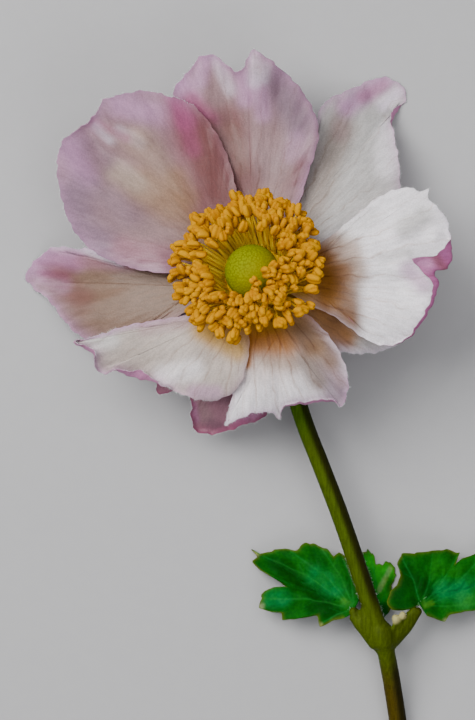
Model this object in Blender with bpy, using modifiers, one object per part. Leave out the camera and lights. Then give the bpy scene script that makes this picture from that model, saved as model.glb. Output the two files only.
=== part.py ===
"""A cut anemone flower lying on its back on a flat surface, the bloom facing up.

The long stem runs along -Y from the bloom, +X is to the right and +Z is up. Every place below is in
millimetres from the middle of the bloom as seen from above, with heights over the surface it lies on.
"""

import math
import random
from collections import namedtuple

import bmesh
import bpy
from mathutils import Matrix, Vector

MM = 0.001
WELD = 0.001

# The bloom's own axis leans away from upright, towards the far left.
BLOOM_LEAN = math.radians(22)
BLOOM_LEAN_TOWARDS = math.radians(128)
BLOOM_HEIGHT = 17.2
BLOOM_CENTRE = Vector((0.55, -1.5))

# Heights along the bloom's axis, from the foot of the green head.
RECEPTACLE_TOP = -0.35
RECEPTACLE_RADIUS = 3.05
RECEPTACLE_BOTTOM = -6.6
STALK_TOP = -9.0
CLAW_RADIUS = 3.4
CLAW_SHARES = (0.0, 0.5, 1.0)
CLAW_STRIP = 0.6
LAYER_HEIGHTS = (-5.9, -4.8, -3.7, -2.6)
LAYER_SPREAD = (-3.0, -4.0, 0.0, 1.5)

# The sheet that all tepals follow near the middle, and how it bends down or up further out.
SHEET_RISE = 0.2
BEND_START = 7.0
SPREAD_REACH = 20.0
BEND_BY_AZIMUTH = (
    (0, 0.012), (30, 0.009), (52, 0.0085), (91, -0.006), (143, -0.006),
    (186, 0.0025), (225, 0.020), (256, 0.034), (284, 0.040), (322, 0.032),
)

BLADE_THICKNESS = 0.6
BLADE_ROWS = 4
CURL_ROWS = 3

HEAD_RADIUS = 4.4
HEAD_CENTRE = 2.6
HEAD_SEGMENTS = 26
HEAD_RINGS = 14
HEAD_RELIEF = 0.16

STAMEN_COUNT = 112
STAMEN_SEED = 11
RING_SHIFT = 0.5
RING_SHIFT_TOWARDS = math.radians(135)
FILAMENT_RADIUS = 0.24
ANTHER_LENGTH = 2.0
ANTHER_WIDTH = 1.25
ANTHER_DEPTH = 1.0
COLLAR_PROFILE = ((4.2, -0.45), (5.9, -1.05), (5.9, -1.5), (3.45, -2.05), (3.45, -0.75))

STEM_RADIUS = 1.48
STEM_ROUTE = (
    (3.2, -6.0, 7.8), (4.2, -9.0, 7.1), (6.1, -17.0, 7.0), (8.6, -25.3, 6.9), (11.6, -33.0, 6.8),
    (14.4, -40.3, 6.7), (17.4, -49.0, 6.6), (20.4, -58.0, 6.5), (21.6, -61.2, 6.2),
    (22.5, -65.0, 4.9), (23.6, -71.0, 2.9), (24.6, -77.5, 1.37),
)
STEM_POINTS_PER_SPAN = 2
NODE_CENTRE = (21.4, -60.4, 6.4)
NODE_SIZE = (2.1, 2.9, 2.0)

Tepal = namedtuple("Tepal", "name layer claw hub rim curl folds")
Leaf = namedtuple("Leaf", "name foot hub rim lift tilt folds")

# Each tepal: the layer it sits in, the stretch of receptacle its claw covers in degrees, the hub that
# its mesh is woven around, its margin from the right-hand side to the left as seen from the middle,
# how that margin curls as (share of the margin, degrees, width), and its lengthwise folds as
# (share, width, height).
TEPALS = (
    Tepal(
        "tepal_upper_right", 1, (33, 69), (8.5, 9.5),
        ((6.6, 1.2), (14.6, 4.4), (21.6, 9.0), (24.1, 13.0), (24.2, 17.0), (23.6, 21.5), (23.4, 25.2),
         (24.6, 26.9), (25.7, 28.7), (25.5, 29.6), (24.4, 30.5), (22.5, 31.4), (20.3, 31.2),
         (17.5, 29.9), (14.3, 28.6), (12.2, 27.6), (10.9, 25.6), (10.2, 23.0), (9.0, 18.5), (7.2, 13.0),
         (4.5, 8.5)),
        ((0.0, 0, 1.0), (0.34, 10, 1.0), (0.41, 100, 1.4), (0.47, 50, 1.2), (0.54, -15, 1.0), (1.0, 0, 1.0)),
        ((0.50, 0.07, -1.5), (0.66, 0.08, 0.8), (0.30, 0.10, 0.7)),
    ),
    Tepal(
        "tepal_top", 2, (73, 109), (0.0, 10.0),
        ((4.0, 6.5), (7.3, 10.0), (9.1, 15.3), (10.3, 19.0), (10.9, 22.2), (10.4, 25.0), (9.0, 27.8),
         (7.2, 30.3), (4.5, 32.7), (1.8, 34.7), (0.0, 35.5), (-0.7, 34.6), (-1.3, 32.8), (-2.6, 32.1),
         (-4.6, 33.7), (-6.8, 35.0), (-8.3, 34.7), (-10.4, 32.2), (-12.7, 29.5), (-13.1, 27.5),
         (-12.3, 22.0), (-10.0, 15.0), (-5.0, 8.0)),
        ((0.0, 0, 1.0), (0.25, -35, 1.2), (0.42, -20, 1.2), (0.5, 30, 1.2), (0.62, 20, 1.2), (1.0, 0, 1.0)),
        ((0.34, 0.08, -0.8), (0.45, 0.07, 0.9), (0.56, 0.07, -0.7), (0.67, 0.07, 0.8)),
    ),
    Tepal(
        "tepal_upper_left", 3, (125, 161), (-6.0, 5.0),
        ((-1.6, 7.5), (-2.4, 11.9), (-3.6, 17.1), (-6.5, 23.1), (-10.0, 26.8), (-13.5, 28.0),
         (-17.5, 28.9), (-21.3, 28.2), (-24.3, 27.2), (-25.6, 25.0), (-28.2, 22.8), (-30.8, 20.7),
         (-31.7, 17.5), (-31.2, 11.9), (-29.4, 6.6), (-26.5, 3.2), (-21.2, 0.5), (-15.0, -0.8),
         (-7.5, -0.6)),
        ((0.0, 0, 1.0), (0.2, -25, 1.2), (0.42, 10, 1.2), (0.49, 95, 1.8), (0.56, 5, 1.2),
         (0.8, -25, 1.2), (1.0, 0, 1.0)),
        ((0.49, 0.05, -1.6), (0.42, 0.06, 1.0), (0.60, 0.07, 1.0), (0.15, 0.09, -0.8), (0.86, 0.1, -0.5)),
    ),
    Tepal(
        "tepal_left", 1, (167, 203), (-8.5, -3.0),
        ((-7.0, 1.2), (-14.0, 3.2), (-22.0, 3.6), (-28.9, 3.4), (-33.0, 3.7), (-35.3, 2.2),
         (-37.2, 0.2), (-37.7, -1.4), (-36.6, -2.8), (-33.8, -5.0), (-31.5, -8.0), (-28.9, -10.7),
         (-27.0, -11.8), (-22.0, -12.2), (-14.0, -8.8), (-6.5, -4.8)),
        ((0.0, 0, 1.0), (0.38, 0, 1.0), (0.48, 25, 1.2), (0.56, 10, 1.2), (1.0, 0, 1.0)),
        ((0.50, 0.06, -1.3), (0.36, 0.08, 1.0), (0.66, 0.09, 0.7)),
    ),
    Tepal(
        "tepal_lower_left", 3, (210, 246), (-5.0, -8.0),
        ((-6.5, -4.6), (-10.5, -7.5), (-15.0, -8.4), (-20.8, -9.5), (-25.1, -11.0), (-29.1, -12.3),
         (-27.0, -13.2), (-25.7, -14.6), (-25.6, -16.3), (-24.9, -17.1), (-22.0, -16.8), (-19.6, -17.8),
         (-16.6, -18.4), (-13.9, -19.4), (-10.3, -21.0), (-6.9, -21.6), (-4.0, -20.8), (-2.0, -19.0),
         (-1.1, -16.5), (-0.5, -13.5), (-1.0, -7.5)),
        ((0.0, 0, 1.0), (0.28, 0, 1.0), (0.36, 60, 1.2), (0.40, 120, 1.8), (0.46, 60, 1.4),
         (0.52, 130, 1.9), (0.62, 60, 1.2), (0.75, -25, 1.2), (1.0, -10, 1.0)),
        ((0.37, 0.05, -0.8), (0.46, 0.05, 0.8), (0.56, 0.06, -0.8), (0.85, 0.1, -0.6)),
    ),
    Tepal(
        "tepal_bottom_back", 0, (237, 273), (-1.5, -9.5),
        ((-3.2, -5.6), (-8.0, -11.0), (-12.8, -15.9), (-15.8, -19.2), (-15.3, -20.6), (-13.4, -20.3),
         (-11.2, -19.6), (-10.1, -21.5), (-10.0, -24.5), (-9.5, -26.5), (-8.0, -27.2), (-4.4, -26.8),
         (-1.0, -25.5), (1.8, -24.5), (3.0, -22.0), (3.2, -16.0), (2.4, -9.0)),
        ((0.0, 0, 1.0), (0.34, 45, 1.1), (0.40, 0, 1.0), (0.50, 90, 1.4), (0.62, 60, 1.3),
         (0.75, 60, 1.2), (1.0, 0, 1.0)),
        ((0.58, 0.09, -0.8),),
    ),
    Tepal(
        "tepal_bottom", 2, (268, 304), (4.5, -10.0),
        ((-1.4, -7.0), (-2.3, -11.9), (-2.8, -16.0), (-3.1, -19.2), (-3.6, -22.3), (-4.3, -25.6),
         (-1.9, -24.4), (1.0, -23.5), (3.0, -23.6), (4.5, -24.5), (5.0, -22.8), (8.1, -22.2),
         (11.0, -21.8), (13.0, -21.7), (14.3, -22.6), (15.3, -20.8), (15.5, -18.3), (14.6, -14.8),
         (12.4, -11.1), (9.4, -8.0), (5.6, -5.2)),
        ((0.0, 0, 1.0), (0.32, 10, 1.0), (0.50, 100, 1.3), (0.55, 120, 1.7), (0.66, 115, 1.6),
         (0.71, 70, 1.4), (0.78, 10, 1.0), (1.0, 0, 1.0)),
        ((0.36, 0.05, 0.7), (0.45, 0.05, -0.7), (0.52, 0.03, 0.8), (0.60, 0.05, -0.6), (0.70, 0.04, 0.7)),
    ),
    Tepal(
        "tepal_lower_right_back", 1, (303, 339), (8.0, -6.0),
        ((2.8, -6.5), (6.0, -10.2), (9.5, -12.6), (13.0, -13.4), (16.5, -13.9), (19.8, -13.8),
         (22.7, -12.9), (25.0, -10.8), (25.0, -7.5), (20.0, -5.0), (13.0, -3.0), (6.5, -2.0)),
        ((0.0, 0, 1.0), (0.3, -20, 1.0), (0.6, -20, 1.0), (1.0, 0, 1.0)),
        ((0.45, 0.15, -0.5),),
    ),
    Tepal(
        "tepal_right", 3, (341, 377), (8.5, -1.0),
        ((6.5, -4.4), (9.6, -6.3), (12.7, -7.7), (15.9, -10.0), (18.9, -12.0), (22.0, -12.7),
         (25.0, -11.6), (27.2, -9.0), (29.0, -5.8), (30.0, -2.6), (30.2, -0.6), (31.6, 0.3),
         (32.2, 2.2), (31.9, 5.2), (31.4, 7.6), (30.2, 9.2), (28.6, 11.0), (27.9, 12.1), (25.0, 12.8),
         (21.2, 11.8), (16.7, 8.4), (12.6, 5.0), (7.5, 2.0)),
        ((0.0, 0, 1.0), (0.26, 20, 1.2), (0.36, 100, 1.5), (0.46, 110, 1.6), (0.51, 140, 2.6),
         (0.56, 140, 3.4), (0.61, 60, 2.0), (0.68, 0, 1.2), (0.74, 45, 1.2), (0.8, -10, 1.0), (1.0, 0, 1.0)),
        ((0.55, 0.035, -1.4), (0.62, 0.04, 1.0), (0.46, 0.05, 0.8)),
    ),
)

# Each leaf: the foot it grows from, the hub of its mesh, its toothed margin, the height of its foot,
# how the blade slopes along X and Y, and its folds as for the tepals.
LEAVES = (
    Leaf(
        "leaf_left", ((16.4, -54.9), (15.9, -56.7)), (13.8, -54.6),
        ((16.2, -53.6), (15.8, -51.7), (15.4, -49.2), (14.9, -47.1), (14.2, -47.0), (13.5, -47.5),
         (12.7, -46.6), (10.8, -45.8), (9.0, -45.4), (7.2, -46.6), (5.6, -46.3), (3.0, -46.9),
         (1.6, -47.4), (0.0, -46.6), (0.9, -47.8), (0.1, -48.5), (1.6, -49.9), (4.5, -51.6),
         (5.6, -52.4), (3.6, -52.7), (2.2, -53.4), (1.7, -54.3), (1.5, -56.1), (3.3, -56.7),
         (4.9, -56.9), (5.1, -57.9), (6.6, -57.8), (8.2, -57.6), (10.8, -57.3), (11.2, -59.0),
         (13.6, -57.9), (15.2, -57.6)),
        6.0, (0.17, -0.20),
        ((0.28, 0.06, 0.6), (0.43, 0.05, -0.5), (0.55, 0.05, 0.6), (0.68, 0.06, -0.4), (0.82, 0.06, 0.5)),
    ),
    Leaf(
        "leaf_right", ((28.3, -56.4), (27.4, -54.9)), (28.9, -54.0),
        ((28.9, -57.2), (30.1, -57.6), (31.8, -58.2), (32.5, -57.2), (34.4, -56.7), (36.3, -56.4),
         (37.9, -56.2), (38.8, -55.7), (40.4, -55.4), (41.9, -54.6), (41.2, -53.3), (39.6, -52.5),
         (41.1, -51.5), (42.5, -49.7), (41.7, -48.4), (40.3, -47.8), (39.6, -46.3), (37.8, -46.9),
         (36.3, -47.5), (35.0, -47.9), (33.8, -48.8), (34.2, -47.2), (32.3, -46.6), (29.8, -46.6),
         (26.9, -47.0), (24.7, -47.3), (24.1, -48.7), (24.7, -50.9), (24.3, -52.4), (25.0, -53.8),
         (26.2, -54.6)),
        6.0, (-0.22, -0.20),
        ((0.16, 0.05, 0.5), (0.30, 0.05, -0.5), (0.44, 0.06, 0.6), (0.60, 0.05, -0.4), (0.73, 0.05, 0.6),
         (0.90, 0.06, -0.9)),
    ),
    Leaf(
        "leaf_back", ((21.9, -57.6), (20.1, -57.8)), (20.5, -54.5),
        ((22.8, -56.8), (23.5, -54.6), (23.2, -52.6), (23.8, -51.0), (23.6, -49.4), (22.5, -48.7),
         (21.6, -49.3), (20.6, -49.0), (20.4, -47.8), (19.4, -46.9), (18.0, -47.6), (17.2, -48.6),
         (16.4, -48.2), (15.9, -49.6), (16.6, -51.5), (16.3, -53.0), (17.6, -55.0), (19.0, -56.8)),
        3.0, (0.0, -0.75),
        (),
    ),
)

# Short leafstalks that sheathe the node, from the node to each leaf's foot, and the buds in one axil.
SHEATHS = (
    ((21.9, -63.0, 5.6), (18.6, -59.2, 5.6), (16.55, -56.2, 6.0)),
    ((21.6, -62.9, 5.6), (25.2, -59.4, 5.6), (27.5, -56.15, 6.0)),
    ((21.3, -61.4, 5.2), (21.2, -59.6, 4.2), (21.05, -58.25, 3.35)),
)
SHEATH_RADII = (1.3, 1.05, 0.8)
BUDS = (
    (((22.6, -61.2, 6.6), (23.3, -59.2, 7.2), (23.6, -57.6, 7.4)), 0.65),
    (((22.9, -61.0, 6.4), (24.2, -58.6, 7.0), (24.8, -57.0, 7.2)), 0.55),
)
BUD_STALK_RADIUS = 0.35

TEPAL_COLOUR = (0.80, 0.68, 0.78)
LEAF_COLOUR = (0.03, 0.20, 0.05)
STEM_COLOUR = (0.20, 0.24, 0.04)
HEAD_COLOUR = (0.30, 0.38, 0.02)
ANTHER_COLOUR = (0.90, 0.50, 0.03)


def clear_scene():
    for old in list(bpy.data.objects):
        bpy.data.objects.remove(old)


def smooth_share(share):
    """Eases 0..1 with level ends."""
    share = min(1.0, max(0.0, share))
    return share * share * (3 - 2 * share)


def interpolate(rows, at):
    """The values of rows, whose first entry is a rising position, at a position between them."""
    for low, high in zip(rows, rows[1:]):
        if at <= high[0]:
            share = smooth_share((at - low[0]) / (high[0] - low[0]))
            return [a + (b - a) * share for a, b in zip(low[1:], high[1:])]
    return list(rows[-1][1:])


def bend_at(azimuth):
    """How strongly the sheet bends down in that direction, in 1/mm."""
    degrees = math.degrees(azimuth) % 360
    around = BEND_BY_AZIMUTH + ((360, BEND_BY_AZIMUTH[0][1]),)
    return interpolate(around, degrees)[0]


def sheet_height(layer, x, y):
    """The height of a tepal's middle surface over the resting plane, before its own folds."""
    across, away = x - BLOOM_CENTRE.x, y - BLOOM_CENTRE.y
    reach = math.hypot(across, away)
    azimuth = math.atan2(away, across)
    lean = -math.tan(BLOOM_LEAN) * math.cos(azimuth - BLOOM_LEAN_TOWARDS)
    beyond = max(0.0, reach - BEND_START)
    height = BLOOM_HEIGHT + LAYER_HEIGHTS[layer] / math.cos(BLOOM_LEAN)
    height += reach * lean + SHEET_RISE * (reach - CLAW_RADIUS)
    height -= bend_at(azimuth) * beyond ** 2
    return height + LAYER_SPREAD[layer] * (beyond / SPREAD_REACH) ** 1.5


def bloom_matrix():
    """Places the bloom's own upright frame, with its foot at the origin, in millimetres."""
    lean_axis = Vector((-math.sin(BLOOM_LEAN_TOWARDS), math.cos(BLOOM_LEAN_TOWARDS), 0))
    foot = Matrix.Translation((*BLOOM_CENTRE, BLOOM_HEIGHT))
    return foot @ Matrix.Rotation(BLOOM_LEAN, 4, lean_axis)


def margin_shares(rim):
    """Each margin point's share of the way along the margin."""
    steps = [math.dist(a, b) for a, b in zip(rim, rim[1:])]
    total = sum(steps)
    return [sum(steps[:i]) / total for i in range(len(rim))]


def curl_direction(loop, i, hub):
    """Which way a margin strip runs: between the margin's outward normal and the line from the hub."""
    before, after = Vector(loop[i - 1]), Vector(loop[(i + 1) % len(loop)])
    along = (after - before).normalized()
    ray = (Vector(loop[i]) - hub).normalized()
    return (Vector((along.y, -along.x)) + ray * 0.8).normalized()


def fold_height(folds, share, along):
    """The height that lengthwise folds add, growing from the hub to the margin."""
    ripple = sum(height * math.exp(-(((share - middle) / width) ** 2)) for middle, width, height in folds)
    return ripple * along ** 1.5


def rest_on_surface(height):
    """Keeps a blade's middle surface from sinking below the plane it lies on."""
    return max(height, BLADE_THICKNESS / 2)


def curl_profile(start_slope, degrees, width):
    """Steps outward and up along a margin strip that turns by the given angle."""
    heading = math.atan(start_slope)
    out, up, steps = 0.0, 0.0, []
    for row in range(CURL_ROWS):
        middle = heading + math.radians(degrees) * (row + 0.5) / CURL_ROWS
        out += math.cos(middle) * width / CURL_ROWS
        up += math.sin(middle) * width / CURL_ROWS
        steps.append((out, up))
    return steps


def claw_points(tepal):
    """Where the tepal meets the receptacle, from its left side to its right."""
    right, left = tepal.claw
    points = []
    for share in CLAW_SHARES:
        angle = math.radians(left + (right - left) * share)
        ring = Vector((CLAW_RADIUS * math.cos(angle), CLAW_RADIUS * math.sin(angle),
                       LAYER_HEIGHTS[tepal.layer]))
        points.append(tuple((bloom_matrix() @ ring).xy))
    return points


def tepal_columns(tepal):
    """Lines of middle-surface points from the hub to each point round the tepal."""
    hub = Vector(tepal.hub)
    loop = [*tepal.rim, *claw_points(tepal)]
    shares = margin_shares(tepal.rim)
    columns = []
    for i, edge in enumerate(loop):
        on_margin = i < len(tepal.rim)
        share = shares[i] if on_margin else None
        degrees, width = interpolate(tepal.curl, share) if on_margin else (0, CLAW_STRIP)
        direction = curl_direction(loop, i, hub)
        edge = Vector(edge)
        inner = edge - direction * 0.5
        slope = (sheet_height(tepal.layer, *edge) - sheet_height(tepal.layer, *inner)) / 0.5
        strip = curl_profile(slope, degrees, width)
        start = edge - direction * max(out for out, _ in strip)
        column = []
        for row in range(1, BLADE_ROWS + 1):
            along = row / BLADE_ROWS
            place = hub.lerp(start, along)
            height = sheet_height(tepal.layer, *place)
            if on_margin:
                height += fold_height(tepal.folds, share, along)
            column.append(Vector((place.x, place.y, rest_on_surface(height))))
        base = column[-1]
        for out, up in strip:
            place = base.xy + direction * out
            column.append(Vector((place.x, place.y, rest_on_surface(base.z + up))))
        columns.append(column)
    return columns


def leaf_height(leaf, x, y):
    """The height of a leaf's middle surface before its folds."""
    foot = (Vector(leaf.foot[0]) + Vector(leaf.foot[1])) / 2
    return leaf.lift + leaf.tilt[0] * (x - foot.x) + leaf.tilt[1] * (y - foot.y)


def leaf_columns(leaf):
    """Lines of middle-surface points from the hub to each point round the leaf."""
    hub = Vector(leaf.hub)
    shares = margin_shares(leaf.rim)
    columns = []
    for i, edge in enumerate([*leaf.rim, leaf.foot[1], leaf.foot[0]]):
        column = []
        for row in range(1, BLADE_ROWS + 1):
            along = row / BLADE_ROWS
            place = hub.lerp(Vector(edge), along)
            height = leaf_height(leaf, *place)
            if i < len(leaf.rim):
                height += fold_height(leaf.folds, shares[i], along)
            column.append(Vector((place.x, place.y, rest_on_surface(height))))
        columns.append(column)
    return columns


def material(name, colour, roughness):
    made = bpy.data.materials.new(name)
    made.use_nodes = True
    shader = made.node_tree.nodes["Principled BSDF"]
    shader.inputs["Base Color"].default_value = (*colour, 1)
    shader.inputs["Roughness"].default_value = roughness
    shader.inputs["Metallic"].default_value = 0
    return made


def new_object(name, mesh, collection, finish=None):
    made = bpy.data.objects.new(name, mesh)
    collection.objects.link(made)
    if finish is not None:
        mesh.materials.clear()
        mesh.materials.append(finish)
    return made


def blade(name, middle, columns, collection, finish):
    """A thin closed blade woven round its middle point, split into the same triangles on both faces."""
    shape = bmesh.new()
    hub = shape.verts.new(Vector(middle) * MM)
    grid = [[shape.verts.new(point * MM) for point in column] for column in columns]
    for left, right in zip(grid, grid[1:] + grid[:1]):
        shape.faces.new((hub, left[0], right[0]))
        for near, (a, b, c, d) in enumerate(zip(left, left[1:], right[1:], right)):
            corners = ((a, b, c), (a, c, d)) if near % 2 else ((a, b, d), (b, c, d))
            for corner in corners:
                shape.faces.new(corner)
    bmesh.ops.recalc_face_normals(shape, faces=shape.faces)
    mesh = bpy.data.meshes.new(name)
    shape.to_mesh(mesh)
    shape.free()
    made = new_object(name, mesh, collection, finish)
    shell = made.modifiers.new("thickness", "SOLIDIFY")
    shell.thickness = BLADE_THICKNESS * MM
    shell.offset = 0
    return made


def apply_modifiers(made):
    """Turns an object into the plain mesh that its modifiers or curve settings show."""
    bpy.context.view_layer.update()
    shown = made.evaluated_get(bpy.context.evaluated_depsgraph_get())
    mesh = bpy.data.meshes.new_from_object(shown)
    welded = bmesh.new()
    welded.from_mesh(mesh)
    bmesh.ops.remove_doubles(welded, verts=welded.verts, dist=WELD * MM)
    welded.to_mesh(mesh)
    welded.free()
    name, place = made.name, made.matrix_world.copy()
    collection = made.users_collection[0]
    bpy.data.objects.remove(made)
    plain = new_object(name, mesh, collection)
    plain.matrix_world = place
    return plain


def tube(name, points, radii, collection):
    """A round stalk along the points, with a radius at each."""
    curve = bpy.data.curves.new(name, "CURVE")
    curve.dimensions = "3D"
    curve.bevel_depth = MM
    curve.bevel_resolution = 2
    curve.use_fill_caps = True
    line = curve.splines.new("POLY")
    line.points.add(len(points) - 1)
    for spot, point, radius in zip(line.points, points, radii):
        spot.co = (*(Vector(point) * MM), 1)
        spot.radius = radius
    return apply_modifiers(new_object(name, curve, collection))


def smooth_route(points, per_span):
    """A rounded line through the points."""
    padded = [Vector(points[0]) * 2 - Vector(points[1]), *map(Vector, points)]
    padded.append(Vector(points[-1]) * 2 - Vector(points[-2]))
    route = []
    for a, b, c, d in zip(padded, padded[1:], padded[2:], padded[3:]):
        for step in range(per_span):
            t = step / per_span
            route.append(0.5 * (2 * b + (c - a) * t + (2 * a - 5 * b + 4 * c - d) * t ** 2
                                + (3 * b - a - 3 * c + d) * t ** 3))
    route.append(Vector(points[-1]))
    return route


def turned(name, profile, steps, collection, closed=False):
    """A shape turned about Z from (radius, height) points, listed down its outer side."""
    mesh = bpy.data.meshes.new(name)
    links = [(i, i + 1) for i in range(len(profile) - 1)]
    if closed:
        links.append((len(profile) - 1, 0))
    mesh.from_pydata([(radius * MM, 0, height * MM) for radius, height in profile], links, [])
    made = new_object(name, mesh, collection)
    screw = made.modifiers.new("turn", "SCREW")
    screw.steps = screw.render_steps = steps
    screw.use_merge_vertices = True
    screw.merge_threshold = 0.00001
    screw.use_normal_calculate = True
    return apply_modifiers(made)


def turn_outward(made):
    """Turns a closed mesh's faces outward."""
    shape = bmesh.new()
    shape.from_mesh(made.data)
    bmesh.ops.recalc_face_normals(shape, faces=shape.faces)
    shape.to_mesh(made.data)
    shape.free()


def fuse(name, body, others, finish):
    """Joins the others to the body in one solid and removes them."""
    joined = bpy.data.collections.new(name + "_pieces")
    bpy.context.scene.collection.children.link(joined)
    for other in others:
        for holder in list(other.users_collection):
            holder.objects.unlink(other)
        joined.objects.link(other)
    union = body.modifiers.new("join", "BOOLEAN")
    union.operation = "UNION"
    union.operand_type = "COLLECTION"
    union.collection = joined
    union.solver = "MANIFOLD"
    body.name = name
    solid = apply_modifiers(body)
    for other in list(joined.objects):
        bpy.data.objects.remove(other)
    bpy.data.collections.remove(joined)
    solid.name = solid.data.name = name
    solid.data.materials.clear()
    solid.data.materials.append(finish)
    return solid


def round_off(made):
    """Shades a round piece smooth, with its hard edges kept."""
    made.data.shade_smooth()
    made.data.set_sharp_from_angle(angle=math.radians(50))


def make_stem(flower, finish):
    """The stem with the receptacle at its head, the sheathed node and the axil's buds."""
    place = bloom_matrix()
    profile = ((0, RECEPTACLE_TOP), (RECEPTACLE_RADIUS - 0.3, RECEPTACLE_TOP),
               (RECEPTACLE_RADIUS, RECEPTACLE_TOP - 0.3), (RECEPTACLE_RADIUS, RECEPTACLE_BOTTOM),
               (STEM_RADIUS + 0.25, STALK_TOP), (0, STALK_TOP))
    receptacle = turned("receptacle", profile, 20, flower)
    turn_outward(receptacle)
    receptacle.matrix_world = Matrix.Scale(MM, 4) @ place @ Matrix.Scale(1 / MM, 4)
    head = [place @ Vector((0, 0, h)) for h in (RECEPTACLE_BOTTOM + 1.5, STALK_TOP + 1.2, STALK_TOP - 0.8)]
    route = smooth_route([*head, *STEM_ROUTE], STEM_POINTS_PER_SPAN)
    stalk = tube("stalk", route, [STEM_RADIUS] * len(route), flower)
    pieces = [receptacle]
    knot = bpy.data.meshes.new("knot")
    shape = bmesh.new()
    bmesh.ops.create_uvsphere(shape, u_segments=12, v_segments=8, radius=MM)
    bmesh.ops.scale(shape, vec=NODE_SIZE, verts=shape.verts)
    bmesh.ops.rotate(shape, matrix=Matrix.Rotation(math.radians(19.6), 3, "Z"), verts=shape.verts)
    bmesh.ops.translate(shape, vec=Vector(NODE_CENTRE) * MM, verts=shape.verts)
    shape.to_mesh(knot)
    shape.free()
    pieces.append(new_object("knot", knot, flower))
    for number, points in enumerate(SHEATHS):
        route = smooth_route(points, 3)
        radii = [interpolate([(0, SHEATH_RADII[0]), (0.5, SHEATH_RADII[1]), (1, SHEATH_RADII[2])],
                             i / (len(route) - 1))[0] for i in range(len(route))]
        pieces.append(tube(f"sheath_{number}", route, radii, flower))
    for number, (points, radius) in enumerate(BUDS):
        pieces.append(tube(f"bud_stalk_{number}", points, [BUD_STALK_RADIUS] * len(points), flower))
        bud = bpy.data.meshes.new(f"bud_{number}")
        shape = bmesh.new()
        bmesh.ops.create_icosphere(shape, subdivisions=1, radius=radius * MM)
        bmesh.ops.translate(shape, vec=Vector(points[-1]) * MM, verts=shape.verts)
        shape.to_mesh(bud)
        shape.free()
        pieces.append(new_object(f"bud_{number}", bud, flower))
    stem = fuse("stem", stalk, pieces, finish)
    round_off(stem)


def make_carpel_head(flower, finish):
    """The green button of carpels: a dome whose surface stands up in close, low points."""
    shape = bmesh.new()
    bmesh.ops.create_uvsphere(shape, u_segments=HEAD_SEGMENTS, v_segments=HEAD_RINGS, radius=HEAD_RADIUS)
    for vert in shape.verts:
        ring = round(math.acos(max(-1, min(1, vert.co.z / HEAD_RADIUS))) / math.pi * HEAD_RINGS)
        segment = round(math.atan2(vert.co.y, vert.co.x) / math.tau * HEAD_SEGMENTS)
        if (ring + segment) % 2:
            vert.co *= 1 + HEAD_RELIEF / HEAD_RADIUS
        vert.co.z += HEAD_CENTRE
    cut = bmesh.ops.bisect_plane(shape, geom=[*shape.verts, *shape.edges, *shape.faces],
                                 plane_co=(0, 0, 0), plane_no=(0, 0, 1), clear_inner=True)
    bmesh.ops.contextual_create(shape, geom=[g for g in cut["geom_cut"] if isinstance(g, bmesh.types.BMEdge)])
    bmesh.ops.triangulate(shape, faces=shape.faces)
    bmesh.ops.recalc_face_normals(shape, faces=shape.faces)
    bmesh.ops.transform(shape, matrix=Matrix.Scale(MM, 4) @ bloom_matrix(), verts=shape.verts)
    mesh = bpy.data.meshes.new("carpel_head")
    shape.to_mesh(mesh)
    shape.free()
    new_object("carpel_head", mesh, flower, finish)


def stamen_layout():
    """Each stamen's filament route and its anther's direction, in the bloom's own frame."""
    draw = random.Random(STAMEN_SEED)
    golden = math.pi * (3 - math.sqrt(5))
    stamens = []
    for i in range(STAMEN_COUNT):
        share = (i + 0.5) / STAMEN_COUNT
        azimuth = i * golden + draw.uniform(-0.12, 0.12)
        reach = 6.3 + 5.7 * share ** 0.85 + draw.uniform(-0.45, 0.45)
        reach += RING_SHIFT * math.cos(azimuth - RING_SHIFT_TOWARDS)
        height = 7.4 - 3.1 * share + draw.uniform(-0.6, 0.6)
        root_reach = 5.0 + 0.6 * share
        root = Vector((root_reach, 0, -1.0 - 0.2 * share))
        tip = Vector((reach, 0, height))
        bow = root.lerp(tip, 0.5) + Vector((-0.2, 0, 0.8))
        swing = Matrix.Rotation(azimuth, 3, "Z")
        side = Matrix.Rotation(azimuth + draw.uniform(-0.1, 0.1), 3, "Z")
        direction = (tip - bow).normalized() + Vector((0.55, draw.uniform(-0.5, 0.5), draw.uniform(-0.3, 0.2)))
        stamens.append(([swing @ root, swing @ bow, side @ tip], (side @ direction).normalized()))
    return stamens


def filament_mesh(shape, route):
    """A three-sided filament, closed at both ends."""
    rings = []
    for i, point in enumerate(route):
        ahead = (route[min(i + 1, len(route) - 1)] - route[max(i - 1, 0)]).normalized()
        turn = ahead.to_track_quat("Z", "X")
        rings.append([shape.verts.new(point + turn @ Vector((
            FILAMENT_RADIUS * math.cos(a), FILAMENT_RADIUS * math.sin(a), 0)))
            for a in (0.3, 0.3 + math.tau / 3, 0.3 + 2 * math.tau / 3)])
    shape.faces.new(reversed(rings[0]))
    shape.faces.new(rings[-1])
    for low, high in zip(rings, rings[1:]):
        for k in range(3):
            shape.faces.new((low[k], low[(k + 1) % 3], high[(k + 1) % 3], high[k]))


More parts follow.
